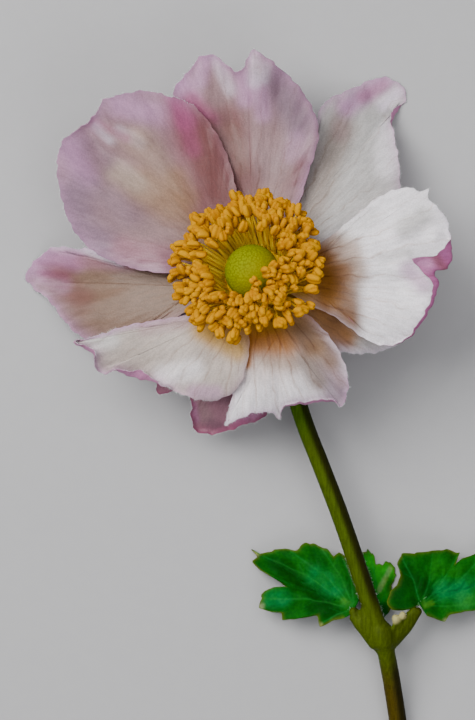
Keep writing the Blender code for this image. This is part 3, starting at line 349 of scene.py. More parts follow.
LOOKS = {
    "tepal_upper_right": Look(
        # Its white is greyed as painted shade, and the taupe and heather strokes down its left side paint the
        # shadow of the top tepal.
        SILVER, FAWN, 10, LILAC, 1, ((0, 0.4), (0.3, 0.6), (0.6, 0.9), (1, 0.5)), TURNED_PINK, 1.1,
        (
            ((22.8, 23, 22.2, 17), 2.2, WHITE, 0.8), ((14.6, 23, 11.6, 15, 9.6, 9.6), 2.8, TAUPE, 0.8),
            ((15, 27, 14.6, 22.4), 1.8, HEATHER, 0.5), ((21.6, 31, 15.8, 27), 1.9, LILAC, 0.85),
            ((22, 31, 18.4, 28.8), 1.3, MAGENTA, 0.45), ((24.2, 29.4, 21.8, 27.2), 1.1, PALE_LILAC, 0.8),
        ),
        (((20, 29.6, 16.1, 25, 13.5, 19), 1.9, -0.4), ((23, 27.6, 19.5, 22), 2.2, 0.25)),
    ),
    "tepal_top": Look(
        # Its own mauve darkened by painted shade. The wine, umber and magenta strokes on its left paint the
        # shadow of the upper left tepal's margin, the dusk, plum and wine strokes on its right the shade over
        # that lobe, and the pale lilac streaks are painted highlights.
        HEATHER, OLIVE, 12, LILAC, 1.2, ((0, 0.6), (0.3, 0.6), (0.5, 0.8), (1, 0.9)), TURNED_PINK, 1,
        (
            ((-3.8, 24.6, -2.4, 19, -1.2, 12), 2.7, WINE, 0.65), ((3.6, 30.6, 7.6, 24.2), 2.9, DUSK, 0.8),
            ((4.6, 30.6, 6.2, 27.4, 8, 23.4), 2.6, PLUM, 0.35), ((-3.2, 22.6, -1.8, 16.6), 1.8, UMBER, 0.3),
            ((1, 29.6, 1.8, 25.2), 1.5, LILAC, 0.6), ((-5.9, 34.4, -3.6, 29.4), 1.2, PALE_LILAC, 0.5),
            ((7.4, 21, 6.9, 18.6), 1.8, LILAC, 0.4), ((8.2, 16.8, 6.6, 12.4), 1.7, WINE, 0.6),
            ((-1.2, 30.8, -1, 27.8), 1.6, LILAC, 0.7), ((0.2, 35.4, 0.4, 30.6), 1.3, PALE_LILAC, 0.55),
            ((2.2, 33, 1.8, 31), 1, PALE_LILAC, 0.4), ((-7.6, 34.6, -8.6, 30.6), 1.3, LILAC, 0.7),
            ((-11.4, 30, -10.2, 28.2), 1.9, LILAC, 0.8), ((-10, 27.4, -7.4, 24.4), 1.8, MAGENTA, 0.8),
            ((-7.2, 23.6, -4.4, 18.4, -2.8, 11), 1.1, WINE, 0.8),
        ),
        (
            ((-7.6, 34.4, -8, 29, -7, 23), 1.2, 0.45), ((-4.4, 30, -3.6, 24), 1.4, -0.3),
            ((-0.2, 33, 0.8, 27), 1.2, 0.4), ((4.2, 30, 4.6, 22), 1.8, -0.3),
        ),
    ),
    "tepal_upper_left": Look(
        # Its own lilac darkened by painted shade. The dusk strokes at the lower left and the olive ones over
        # the middle are painted shade, the magenta, rose and wine strokes along its right margin are its rosy
        # colour darkened by painted shade where it lies doubled over the top tepal, and the pale lilac
        # streaks beside its creases are painted highlights.
        HEATHER, OLIVE, 12, LILAC, 1.5,
        ((0, 0), (0.2, 0.1), (0.4, 0.8), (0.6, 0.6), (1, 0.5)), TURNED_PINK, 0.45,
        (
            ((-29.4, 19.4, -27.4, 14.6), 2.5, LILAC, 0.8),
            ((-29.6, 11.6, -28, 6.4, -25, 4), 3.4, DUSK, 0.9), ((-24.4, 12.6, -20.4, 9.4), 3.2, DUSK, 0.5),
            ((-17.4, 13.4, -13, 10.2, -8.6, 9.4), 3.2, OLIVE, 0.75),
            ((-22, 15.8, -18.8, 13.8), 1.7, CREAM, 0.6), ((-21.8, 22.4, -18.4, 20.4), 1, PALE_LILAC, 0.45),
            ((-21, 3, -14, 1.6), 2.3, ROSE, 0.75), ((-22, 15.4, -17.4, 13), 2.4, SAND, 0.5),
            ((-18.6, 20.6, -13, 15.2), 2.6, SAND, 0.6), ((-21.6, 26.4, -13, 24.6), 2.1, LILAC, 0.75),
            ((-10.8, 24, -9, 18.4, -6.6, 12.4), 4.1, ROSE, 0.9),
            ((-8.4, 22.4, -7, 17.4, -5.2, 12.2), 4.7, WINE, 1),
            ((-12.4, 14.6, -10.8, 11.6), 2.2, OLIVE, 0.6), ((-12.6, 27.8, -11, 24.2), 1.8, MAGENTA, 0.95),
            ((-11, 24.2, -9.6, 19.4), 1.5, MAGENTA, 0.55), ((-26.4, 24.3, -25, 23.2), 0.8, MAGENTA, 0.7),
            ((-25.6, 23.2, -23.2, 20.8), 0.7, PALE_LILAC, 0.5), ((-26.8, 20.4, -24, 17.6), 1.9, DUSK, 0.5),
            ((-23.6, 22.8, -20.4, 21.2), 0.8, ROSE, 0.7),
        ),
        (
            ((-26, 24.4, -24.4, 22.2, -22.8, 20), 0.9, 0.5), ((-26.8, 22.2, -25.2, 19.4), 1.1, -0.5),
            ((-23.2, 24, -20.6, 21.6), 1, -0.4), ((-20, 21.6, -17.6, 21), 0.9, 0.35),
        ),
    ),
    "tepal_left": Look(
        # Its own tan darkened by painted shade. The wine and umber strokes paint shade in its fold, and the
        # pale lilac line along its upper margin is a painted highlight.
        FAWN, OLIVE, 12, LILAC, 1.2,
        ((0, 0.6), (0.35, 0.7), (0.45, 1), (0.6, 0.8), (1, 0.1)), TURNED_PINK, 0.25,
        (
            ((-35, 2.2, -29, 1.6), 1.8, LILAC, 0.8), ((-28, 1.4, -20, 0.8), 1.4, ROSE, 0.75),
            ((-36, -0.4, -31.4, -2.6), 1.6, LILAC, 0.7), ((-35, -0.6, -31, -1.2), 0.9, MAGENTA, 0.4),
            ((-36, 1.6, -30, 0.8), 1.8, MAGENTA, 0.35), ((-32.4, -1.6, -28, -5), 2.3, WINE, 0.55),
            ((-28, -6.8, -22, -5.4), 2.2, UMBER, 0.25),
            ((-34.2, 4.4, -29, 3.9, -21.6, 1.2), 0.8, PALE_LILAC, 0.9),
        ),
        (((-35.8, 0, -31.8, -2.2, -26, -3.4), 2.2, -0.35), ((-32, 0.6, -24, -0.6), 1.4, 0.3)),
    ),
    "tepal_lower_left": Look(
        CREAM, AMBER, 10.5, LILAC, 0.9,
        ((0, 0.3), (0.25, 0.9), (0.55, 0.9), (0.75, 0.4), (1, 0.1)), TURNED_PINK, 0.8,
        (
            ((-26, -12.4, -23, -11.8), 1.6, SILVER, 0.8), ((-17.6, -9.8, -11, -8.8), 1.4, ROSE, 0.4),
            ((-14.4, -17.6, -9.6, -16.6), 1.9, WHITE, 0.6), ((-9.4, -20, -6, -20.2), 1.3, LILAC, 0.5),
            # Painted light: glow bounced from the stamens.
            ((-8, -10.2, -2.4, -13.4), 1.9, STAMEN_GLOW, 0.75),
        ),
    ),
    "tepal_bottom_back": Look(
        # Its own dusky pink darkened by painted shade, as it lies low behind the bottom tepals; the umber
        # base and the heather and plum strokes are painted shade too.
        ROSE, UMBER, 9, MAGENTA, 0.9, ((0, 0.9), (1, 0.9)), TURNED_PINK, 0.6,
        (
            ((-9, -22.4, -8, -24), 1.6, HEATHER, 0.7), ((-7, -25.4, -5.2, -26), 1.1, PLUM, 0.4),
            ((-2.2, -24.6, 0.6, -23.8), 1.5, TURNED_PINK, 0.85),
            ((-9.8, -22.4, -9.4, -24.6), 0.8, TURNED_PINK, 0.6),
            ((-3.6, -25.8, -1.8, -25.2), 1, MAGENTA, 0.5),
        ),
    ),
    "tepal_bottom": Look(
        WHITE, OCHRE, 14.6, LILAC, 0.6,
        ((0, 0.2), (0.3, 0.5), (0.46, 0.8), (0.7, 0.8), (0.8, 0.4), (1, 0.3)), TURNED_PINK, 1.1,
        (
            # The dusk, heather, fawn, taupe, olive and umber strokes paint shade over the right part and the
            # shadow of the stamens, and the amber strokes by the stamens paint glow bounced from them.
            ((3, -14.8, 6.4, -15.4), 1.8, SAND, 0.7),
            ((10.4, -13, 11.4, -16.6, 14.2, -20.6), 2.6, DUSK, 0.8),
            ((12.6, -14.4, 14.4, -18.6), 1.2, HEATHER, 0.6), ((0, -12, 5.4, -12.2), 2.3, AMBER, 0.85),
            ((10, -12.6, 12.6, -15), 2, FAWN, 0.9), ((9, -15.2, 10.6, -18.4), 1.8, TAUPE, 0.85),
            ((7.6, -9.6, 9.8, -12.4), 2.3, OLIVE, 0.85), ((7.8, -10.4, 9.4, -12.6), 1.6, UMBER, 0.5),
            ((-0.9, -11.5, -0.9, -15.6), 0.9, AMBER, 0.9),
        ),
        (((2, -24, 2.6, -18), 1.4, 0.3), ((6, -23, 6.2, -17), 1.6, -0.3)),
    ),
    "tepal_lower_right_back": Look(
        SAND, AMBER, 11, PALE_LILAC, 1, ((0, 0.9), (1, 0.9)), TURNED_PINK, 0.8,
        (
            # The ochre and umber strokes paint the shadow of the right tepal and the stamens over glow
            # bounced from them.
            ((17.4, -12.8, 24, -11.6), 1.9, SILVER, 0.9), ((11, -8, 14.8, -11.6), 2.4, OCHRE, 0.9),
            ((13.2, -9.6, 14.8, -12.6), 1.7, UMBER, 0.6),
        ),
    ),
    "tepal_right": Look(
        WHITE, AMBER, 11, PALE_LILAC, 0.5,
        ((0, 0.3), (0.3, 0.5), (0.45, 0.8), (0.58, 0.8), (0.66, 0.2), (1, 0.2)), TURNED_DEEP, 1.25,
        (
            # The sand, fawn, ochre and umber strokes round the claw paint the shadow of the stamens over glow
            # bounced from them, and the silver and lilac strokes paint shade on the white.
            ((12.4, 5, 16, 3, 17, -1), 1.9, SAND, 0.85), ((14.6, 6, 19, 8.2), 1.9, SILVER, 0.5),
            ((14.4, 0.6, 15.6, -4, 15.4, -9.4), 2.2, FAWN, 0.9),
            ((10.4, 1.6, 12.6, -2, 13, -8), 3, OCHRE, 0.95),
            ((11, 1, 13.4, -2.4, 14.8, -8.6), 2.8, UMBER, 0.9), ((12.4, 5.4, 13.4, 4.2), 1.6, FAWN, 0.65),
            ((10.8, 0.8, 12.2, -5), 2.2, OCHRE, 0.7), ((25.2, -0.4, 27.5, -2.8), 1.7, LILAC, 0.65),
            ((25, 2.2, 21, 1.4), 1, SILVER, 0.5), ((27.6, 8.2, 24.6, 6.4), 1.7, SILVER, 0.8),
        ),
        (
            ((24.8, 1.6, 20.6, 0.6, 17, -0.6), 1.4, 0.6), ((29.4, 4.6, 26.8, 2.6, 24.8, 1.6), 1.1, 0.8),
            ((23.6, -2.4, 26.6, -1.6), 1.3, -0.5), ((27.6, 8, 20, 5.6), 2, -0.35),
            ((26, -2, 20, -2.6), 1.8, -0.4),
        ),
        # Underside strokes: painted light on the rolled fold in pale pink, and painted shade inside it in
        # wine.
        (((26, 0.8, 28.2, 0.6), 1.1, TURNED_PINK, 0.8), ((29.4, 1.4, 30.8, -0.4), 0.8, WINE, 0.7)),
    ),
}

# The length over which a margin's curl grows to its full angle.
ROLL_LENGTH = 1.3

LEAF_GREEN = (0.0004, 0.070, 0.0010)
LEAF_PALE = (0.012, 0.150, 0.016)
# Dark green: the darker patches of the leaves' own tone, and painted shade in their folds and hollows.
LEAF_DARK = (0.0, 0.030, 0.0)
LEAF_EDGE = (0.12, 0.11, 0.008)
# Painted sheen: a bluish green.
LEAF_SHEEN_BLUE = (0.001, 0.110, 0.014)
# A fresh green; on the back leaf it also paints light onto a leaf that lies low in the others' shade.
LEAF_FRESH = (0.010, 0.270, 0.005)
LEAF_YELLOW = (0.030, 0.120, 0.003)
LEAF_TIP = (0.30, 0.30, 0.09)
LEAF_UNDERSIDE = (0.0424, 0.158, 0.0432)
LEAF_SHEEN_TINT = (1.0, 1.2, 2.5, 1)
# The dark strokes paint shade in folds and hollows and the bluish ones painted sheen; the yellow and cream
# strokes are the leaves' own colour.
LEAF_STROKES = {
    "leaf_left": (
        ((3.4, -48.6, 8, -52, 12.4, -55.4), 1.3, LEAF_DARK, 0.9),
        ((10.6, -50.6, 13.6, -52.6), 1.7, LEAF_SHEEN_BLUE, 0.8), ((3, -54.4, 5, -54.6), 1.5, LEAF_SHEEN_BLUE, 0.9),
        ((9.6, -56.2, 13.8, -56.6), 1.2, LEAF_DARK, 0.8),
        ((15.2, -54.9, 16.4, -55.8), 0.6, LEAF_YELLOW, 0.8), ((0, -46.6, 0.8, -47.2), 0.5, LEAF_TIP, 0.6),
        ((1.3, -56.3, 1.6, -55.8), 0.5, LEAF_TIP, 0.5), ((11.2, -59.2, 11.3, -58.7), 0.4, LEAF_TIP, 0.6),
    ),
    "leaf_right": (
        ((24, -53.6, 25.8, -50, 28.6, -53), 1.5, LEAF_DARK, 0.85),
        ((31.6, -53.2, 36.6, -52.4), 1.7, LEAF_SHEEN_BLUE, 0.9),
        ((30.6, -48.6, 33.4, -50.4), 1.6, LEAF_FRESH, 0.15),
        ((34.6, -55.2, 38, -54.6), 1.4, LEAF_PALE, 0.7),
        ((27.8, -55.8, 29.6, -55.2), 0.5, LEAF_YELLOW, 0.8),
        ((23.6, -51.6, 24.4, -55.4, 26.6, -55.2), 1.3, LEAF_DARK, 0.7),
        ((31.9, -58.4, 31.9, -58), 0.4, LEAF_TIP, 0.6),
    ),
    "leaf_back": (
        ((20, -48.6, 22.8, -50.2), 1.5, LEAF_FRESH, 0.9), ((21, -51, 21.8, -54.4), 1.2, LEAF_FRESH, 0.8),
        ((23, -49.8, 21.2, -53.4), 0.45, LEAF_TIP, 0.4),
    ),
}
LEAF_VEINS = {
    "leaf_left": ((0.6, -47.0), (11.6, -46.3), (6.4, -46.6), (2.2, -54.6), (11.3, -58.6), (15.0, -47.4)),
    "leaf_right": ((42.0, -49.6), (41.4, -54.4), (39.2, -46.8), (33.9, -47.8), (29.8, -47.0), (24.8, -47.8)),
    "leaf_back": ((22.6, -49.2), (19.6, -47.3), (16.5, -48.8)),
}

MARGIN_COLUMNS = 150
LINK_COLUMNS = 5
ARC_COLUMNS = 12
BLADE_ROWS = 38
CURL_ROWS = 16
TEPAL_THICKNESS = (0.30, 0.13)
LEAF_THICKNESS = (0.42, 0.24)
LEAF_TEETH = 25
LEAF_TOOTH = 0.42
LEAF_TOOTH_PEAK = 0.75
LEAF_COLUMNS = 230
LEAF_ROWS = 46
LEAF_LINK_COLUMNS = 3
LEAF_FULLNESS = 0.55
LEAF_VEIN_DEPTH = 0.42
SIDE_VEIN_STEP = 2.2
SIDE_VEIN_REACH = 2.9
SIDE_VEIN_TURN = math.radians(38)
SURFACE_CLEARANCE = 0.04
# Small forms. Margin waves are (height, wavelength), ruffles (height, cycles along the margin) and
# pleats (height, cycles to a radian). Dents and patches are (waves, wavelengths, height).
MARGIN_WAVES = ((0.10, 3.1), (0.08, 1.9), (0.05, 1.2))
RUFFLES = ((0.15, 9), (0.10, 15), (0.05, 27))
RUFFLE_START = 0.72
BROAD_PLEATS = (0.030, 23)
FINE_PLEATS = (0.015, 47)
PLEAT_WANDER = (3, (9, 16), 0.10)
TEPAL_DENTS = (6, (7, 15), 0.35)
TEPAL_PATCHES = (7, (3, 11), 0.035)
LEAF_DENTS = (5, (2.5, 6), 0.16)
LEAF_PATCHES = (5, (4, 9), 1.0)
EDGE_REACH = 5
SLOPE_STEP = 0.5
MARGIN_HAIRS = 420
MARGIN_HAIR_LENGTHS = (0.2, 0.6)
MARGIN_HAIR_RADIUS = 0.018
TEPAL_SEED = 100
LEAF_SEED = 300
SEED_STEP = 10
# Veins: how many to a radian and their half width, and for the finer ones also their shift before
# that, and after it where they start, where they are full and how strong they get.
MAIN_VEINS = (5.2, 0.24)
FINER_VEINS = ((0.5, 10.4, 0.18, 8.0, 14.0, 0.55), (0.25, 20.8, 0.15, 14.0, 20.0, 0.35))


def ease(share):
    """Eases 0..1 with level ends."""
    share = np.clip(share, 0, 1)
    return share * share * (3 - 2 * share)


def eased_table(rows, at):
    """The values of rows, whose first entry is a rising position, at positions between them."""
    rows = np.asarray(rows, float)
    low = np.clip(np.searchsorted(rows[:, 0], at) - 1, 0, len(rows) - 2)
    share = ease((at - rows[low, 0]) / (rows[low + 1, 0] - rows[low, 0]))
    return rows[low, 1:] + (rows[low + 1, 1:] - rows[low, 1:]) * share[..., None]


def spline(knots, values, at, fullness=1.0):
    """A smooth line through values at rising knots, read at the given places."""
    knots, values = np.asarray(knots, float), np.asarray(values, float)
    steps = np.diff(knots)[:, None]
    slopes = np.diff(values, axis=0) / steps
    tangents = np.vstack([
        slopes[:1],
        (slopes[:-1] * steps[1:] + slopes[1:] * steps[:-1]) / (steps[1:] + steps[:-1]),
        slopes[-1:],
    ]) * fullness
    low = np.clip(np.searchsorted(knots, at, side="right") - 1, 0, len(knots) - 2)
    width = (knots[low + 1] - knots[low])[:, None]
    t = ((at - knots[low])[:, None]) / width
    return (
        values[low] * (2 * t ** 3 - 3 * t ** 2 + 1) + values[low + 1] * (3 * t ** 2 - 2 * t ** 3)
        + tangents[low] * width * (t ** 3 - 2 * t ** 2 + t) + tangents[low + 1] * width * (t ** 3 - t ** 2)
    )


def path_points(path):
    """A path's numbers as points in plan."""
    return np.reshape(np.asarray(path, float), (-1, 2))


def margin_line(rim, share, fullness=1.0):
    """Points of a smooth margin at shares of the way along it."""
    points = path_points(rim)
    steps = np.linalg.norm(np.diff(points, axis=0), axis=1)
    return spline(np.concatenate([[0], np.cumsum(steps)]) / steps.sum(), points, share, fullness)


def unit(vectors):
    return vectors / np.maximum(np.linalg.norm(vectors, axis=-1, keepdims=True), 1e-9)


def waves(seed, count, wavelengths, height):
    """A gentle seeded relief over the plan: a sum of sine waves in all directions."""
    draw = random.Random(seed)
    parts = []
    for _ in range(count):
        turn, phase = draw.uniform(0, math.tau), draw.uniform(0, math.tau)
        number = math.tau / draw.uniform(*wavelengths)
        parts.append((math.cos(turn) * number, math.sin(turn) * number, phase))

    def relief(x, y):
        return height / math.sqrt(count) * sum(np.sin(a * x + b * y + c) for a, b, c in parts)

    return relief


def sheet_height(layer, x, y):
    """The height of a tepal's middle surface over the resting plane, before its own folds."""
    across, away = x - BLOOM_CENTRE[0], y - BLOOM_CENTRE[1]
    reach = np.hypot(across, away)
    azimuth = np.arctan2(away, across)
    lean = -math.tan(BLOOM_LEAN) * np.cos(azimuth - BLOOM_LEAN_TOWARDS)
    beyond = np.maximum(0.0, reach - BEND_START)
    around = BEND_BY_AZIMUTH + ((360, BEND_BY_AZIMUTH[0][1]),)
    bend = eased_table(around, np.degrees(azimuth) % 360)[..., 0]
    height = BLOOM_HEIGHT + LAYER_HEIGHTS[layer] / math.cos(BLOOM_LEAN)
    height = height + reach * lean + SHEET_RISE * (reach - CLAW_RADIUS) - bend * beyond ** 2
    return height + LAYER_SPREAD[layer] * (beyond / SPREAD_REACH) ** 1.5


def bloom_matrix():
    """Places the bloom's own upright frame, with its foot at the origin, in millimetres."""
    lean_axis = Vector((-math.sin(BLOOM_LEAN_TOWARDS), math.cos(BLOOM_LEAN_TOWARDS), 0))
    foot = Matrix.Translation((*BLOOM_CENTRE, BLOOM_HEIGHT))
    return np.array(foot @ Matrix.Rotation(BLOOM_LEAN, 4, lean_axis))


def in_bloom(points):
    """Points from the bloom's own upright frame in the flower's places."""
    place = bloom_matrix()
    return points @ place[:3, :3].T + place[:3, 3]


def fold_height(folds, share, along):
    """The height that lengthwise folds add, growing from the hub to the margin."""
    ripple = sum(height * np.exp(-(((share - middle) / width) ** 2)) for middle, width, height in folds)
    return ripple * along ** 1.5


def claw_arc(tepal, count):
    """Plan points where the tepal meets the receptacle, from its left side to its right."""
    right, left = np.radians(tepal.claw)
    angles = left + (right - left) * np.linspace(0, 1, count)
    ring = np.stack([CLAW_RADIUS * np.cos(angles), CLAW_RADIUS * np.sin(angles),
                     np.full(count, LAYER_HEIGHTS[tepal.layer])], axis=1)
    return in_bloom(ring)[:, :2]


def closed_loop(margin, share, foot, links):
    """A blade's whole edge in plan, and each point's share of the margin, or -1 off the margin."""
    steps = np.linspace(0, 1, links + 2)[1:-1, None]
    loop = np.vstack([margin, margin[-1] + (foot[0] - margin[-1]) * steps, foot,
                      foot[-1] + (margin[0] - foot[-1]) * steps])
    return loop, np.concatenate([share, np.full(len(loop) - len(share), -1.0)])


def tepal_loop(tepal, seed):
    """A tepal's edge in plan, with small waves along its margin."""
    draw = random.Random(seed)
    share = np.linspace(0, 1, MARGIN_COLUMNS)
    margin = margin_line(tepal.rim, share)
    outward = unit(np.gradient(margin, axis=0))[:, ::-1] * (1, -1)
    length = np.linalg.norm(np.diff(margin, axis=0), axis=1).sum()
    wobble = sum(size * np.sin(math.tau * share * length / wave + draw.uniform(0, math.tau))
                 for size, wave in MARGIN_WAVES)
    margin = margin + outward * (wobble * np.sin(math.pi * share) ** 0.5)[:, None]
    return closed_loop(margin, share, claw_arc(tepal, ARC_COLUMNS), LINK_COLUMNS)


# A woven sheet: its middle surface by column and row, its hub, how far along its column each row is,
# each column's share of the margin, and each point's plan distance from the margin.
Sheet = namedtuple("Sheet", "points hub along share gap")


def tepal_sheet(tepal, seed):
    hub = np.array(tepal.hub)
    loop, share = tepal_loop(tepal, seed)
    on_margin = share >= 0
    held = np.where(on_margin, share, 0)
    curl = np.where(on_margin[:, None], eased_table(tepal.curl, held), (0, CLAW_STRIP))
    degrees, width = curl[:, 0], curl[:, 1]
    along_loop = np.roll(loop, -EDGE_REACH, axis=0) - np.roll(loop, EDGE_REACH, axis=0)
    direction = unit(unit(along_loop[:, ::-1] * (1, -1)) + unit(loop - hub) * 0.8)
    inner = loop - direction * SLOPE_STEP
    slope = (sheet_height(tepal.layer, *loop.T) - sheet_height(tepal.layer, *inner.T)) / SLOPE_STEP
    steps = (np.arange(CURL_ROWS) + 0.5) / CURL_ROWS
    rolled = ease(steps * width[:, None] / np.minimum(width, ROLL_LENGTH)[:, None])
    heading = np.arctan(slope)[:, None] + np.radians(degrees)[:, None] * rolled
    out = np.cumsum(np.cos(heading), axis=1) * width[:, None] / CURL_ROWS
    up = np.cumsum(np.sin(heading), axis=1) * width[:, None] / CURL_ROWS
    start = loop - direction * out.max(axis=1, keepdims=True)
    along = np.arange(1, BLADE_ROWS + 1) / BLADE_ROWS
    place = hub + (start - hub)[:, None, :] * along[:, None]
    height = sheet_height(tepal.layer, place[..., 0], place[..., 1])
    folds = fold_height(tepal.folds, held[:, None], along[None, :])
    height = height + np.where(on_margin[:, None], folds, 0)
    strip = place[:, -1:, :] + direction[:, None, :] * out[..., None]
    points = np.concatenate([
        np.dstack([place, height]), np.dstack([strip, height[:, -1:] + up])], axis=1)
    gap = np.linalg.norm(points[..., :2] - loop[:, None, :], axis=2)
    gap[:, BLADE_ROWS:] = np.minimum(gap[:, BLADE_ROWS:], (width[:, None] * (1 - steps)))
    full = np.concatenate([along, np.ones(CURL_ROWS)])
    points[..., 2] += tepal_relief(tepal, points, share, full, seed)
    points[..., 2] = np.maximum(points[..., 2], TEPAL_THICKNESS[0] / 2 + SURFACE_CLEARANCE)
    middle = np.array([*hub, sheet_height(tepal.layer, *hub)])
    return Sheet(points, middle, full, share, gap)


def fan_place(tepal, points):
    """The vein fan's azimuth and reach at each point, about a spot behind the claw."""
    origin = BLOOM_CENTRE + (claw_arc(tepal, 3)[1] - BLOOM_CENTRE) * 0.3
    x, y = points[..., 0] - origin[0], points[..., 1] - origin[1]
    facing = math.atan2(tepal.hub[1] - origin[1], tepal.hub[0] - origin[0])
    azimuth = (np.arctan2(y, x) - facing + math.pi) % math.tau - math.pi
    return azimuth, np.hypot(x, y)


def tepal_relief(tepal, points, share, along, seed):
    """Small forms over a tepal: soft dents, lengthwise pleats and a ruffled margin."""
    azimuth, reach = fan_place(tepal, points)
    draw = random.Random(seed + 50)
    dents = waves(seed, *TEPAL_DENTS)(points[..., 0], points[..., 1])
    wander = waves(seed + 1, *PLEAT_WANDER)(points[..., 0], points[..., 1])
    fade_in = ease((reach - 6) / 10)
    height, cycles = BROAD_PLEATS
    pleats = height * np.sin((azimuth + wander) * cycles + draw.uniform(0, 6)) * fade_in
    height, cycles = FINE_PLEATS
    pleats = pleats + height * np.sin((azimuth - wander) * cycles) * fade_in
    for path, width, height in LOOKS[tepal.name].creases:
        pleats = pleats + height * np.exp(-((segment_distance(points, path) / width) ** 2))
    ruffle_row = ease((along - RUFFLE_START) / (1 - RUFFLE_START))[None, :]
    held = np.maximum(share, 0)[:, None]
    ends = np.sin(math.pi * held) ** 0.6
    ruffle = sum(size * np.sin(held * cycles * math.tau + draw.uniform(0, 6))
                 for size, cycles in RUFFLES)
    return (dents * fade_in + pleats + ruffle * ruffle_row * ends) * (share >= 0)[:, None]


def sheet_normals(points, hub):
    """Upward normals of a woven middle surface."""
    inner = np.concatenate([np.broadcast_to(hub, (len(points), 1, 3)), points], axis=1)
    outward = np.gradient(inner, axis=1)[:, 1:]
    around = np.roll(points, -1, axis=0) - np.roll(points, 1, axis=0)
    return unit(np.cross(outward, around))


def shell(sheet, thickness):
    """A thin closed shell round a woven sheet: its points and faces, upper face first."""
    columns, rows = sheet.points.shape[:2]
    middle, hub = sheet.points.copy(), sheet.hub.copy()
    half = (thickness[0] + (thickness[1] - thickness[0]) * sheet.along ** 2)[None, :, None] / 2
    normals = sheet_normals(middle, hub)
    lowest = half[..., 0] + SURFACE_CLEARANCE
    middle[..., 2] = np.maximum(middle[..., 2], lowest)
    hub[2] = max(hub[2], thickness[0] / 2 + SURFACE_CLEARANCE)
    lift = np.array([0, 0, thickness[0] / 2])
    upper, lower = middle + normals * half, middle - normals * half
    verts = np.vstack([upper.reshape(-1, 3), hub + lift, lower.reshape(-1, 3), hub - lift])
    count = columns * rows
    here = np.arange(columns)
    there = (here + 1) % columns
    faces = []
    for side, flip in ((0, False), (count + 1, True)):
        a = (here[:, None] * rows + np.arange(rows - 1)) + side
        b = (there[:, None] * rows + np.arange(rows - 1)) + side
        quads = np.stack([a, a + 1, b + 1, b], axis=-1).reshape(-1, 4)
        spokes = np.stack([np.full(columns, side + count), here * rows + side, there * rows + side], axis=1)
        faces += (quads[:, ::-1] if flip else quads).tolist()
        faces += (spokes[:, ::-1] if flip else spokes).tolist()
    last = here * rows + rows - 1
    after = there * rows + rows - 1
    faces += np.stack([last, last + count + 1, after + count + 1, after], axis=1).tolist()
    return verts, faces


def spikes(roots, directions, lengths, radius):
    """Three-sided closed hairs on the given roots: their points and faces."""
    directions = unit(directions)
    side = unit(np.cross(directions, (0.31, 0.17, 0.93)))
    other = np.cross(directions, side)
    base = [roots + radius * (math.cos(turn) * side + math.sin(turn) * other)
            for turn in (0, math.tau / 3, 2 * math.tau / 3)]
    tips = roots + directions * np.asarray(lengths)[:, None]
    verts = np.stack([*base, tips], axis=1).reshape(-1, 3)
    verts[:, 2] = np.maximum(verts[:, 2], SURFACE_CLEARANCE)
    first = np.arange(len(roots))[:, None] * 4
    faces = np.concatenate([first + np.array(face) for face in ((0, 2, 1), (0, 1, 3), (1, 2, 3), (2, 0, 3))])
    return verts, faces.tolist()


def segment_distance(points, path):
    """Plan distance of points from a line along a path."""
    path = path_points(path)
    best = np.full(points.shape[:-1], np.inf)
    for a, b in zip(path, path[1:]):
        step = b - a
        t = np.clip(((points[..., :2] - a) @ step) / max(step @ step, 1e-9), 0, 1)
        best = np.minimum(best, np.linalg.norm(points[..., :2] - (a + t[..., None] * step), axis=-1))
    return best


def blend(colours, other, weight):
    return np.asarray(colours) + (np.asarray(other) - colours) * np.asarray(weight)[..., None]


def painted(colours, points, strokes):
    """The colours of points with soft strokes over them."""
    for path, radius, colour, strength in strokes:
        colours = blend(colours, colour, strength * np.exp(-((segment_distance(points, path) / radius) ** 3)))
    return colours


def shell_values(upper, lower):
    """Values for a shell's points, from those of its two faces."""
    faces = (upper, lower)
    return np.vstack([part for face in faces for part in (face.reshape(-1, 3), face[:, 0].mean(axis=0))])


def tepal_tint(tepal, sheet, seed):
    """The upper and lower colours of a tepal's points, and how strong its veins are there."""
    look = LOOKS[tepal.name]
    points = sheet.points
    reach = fan_place(tepal, points)[1]
    patches = 1 + waves(seed + 7, *TEPAL_PATCHES)(points[..., 0], points[..., 1])[..., None]
    # Near the claw the base colour paints warm shade and light bounced from the stamens, and the golden glow
    # inside it is painted light.
    upper = blend(look.body * patches, look.base, np.exp(-((reach / look.base_reach) ** 4)))
    upper = blend(upper, STAMEN_GLOW, np.exp(-((reach / STAMEN_GLOW_REACH) ** 6)))
    upper = painted(upper, points, look.strokes)
    strength = eased_table(look.blush_rows, np.maximum(sheet.share, 0))[:, 0] * (sheet.share >= 0)
    upper = blend(upper, look.blush, 0.9 * strength[:, None] * np.exp(-sheet.gap / look.blush_reach))
    lower = painted(look.underside * patches, points, look.turned)
    lower = blend(lower, MAGENTA, 0.3 * np.exp(-sheet.gap / 1.2))
    return upper, lower, look.veins * (0.25 + 0.75 * np.exp(-((reach / VEIN_REACH) ** 2)))


def joined(shapes):
    """The points and faces of several shapes as one shape."""
    firsts = np.cumsum([0] + [len(verts) for verts, _ in shapes]).tolist()
    faces = [[i + first for i in face] for first, (_, part) in zip(firsts, shapes) for face in part]
    return np.vstack([verts for verts, _ in shapes]), faces


def add_mesh(name, verts, faces, finishes):
    """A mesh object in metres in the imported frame, from points in the flower's millimetres."""
    mesh = bpy.data.meshes.new(name)
    mesh.from_pydata(((np.asarray(verts) + BED) * MM).tolist(), [], faces)
    for finish in finishes:
        mesh.materials.append(finish)
    mesh.shade_smooth()
    made = bpy.data.objects.new(name, mesh)
    bpy.context.scene.collection.objects.link(made)
    return made


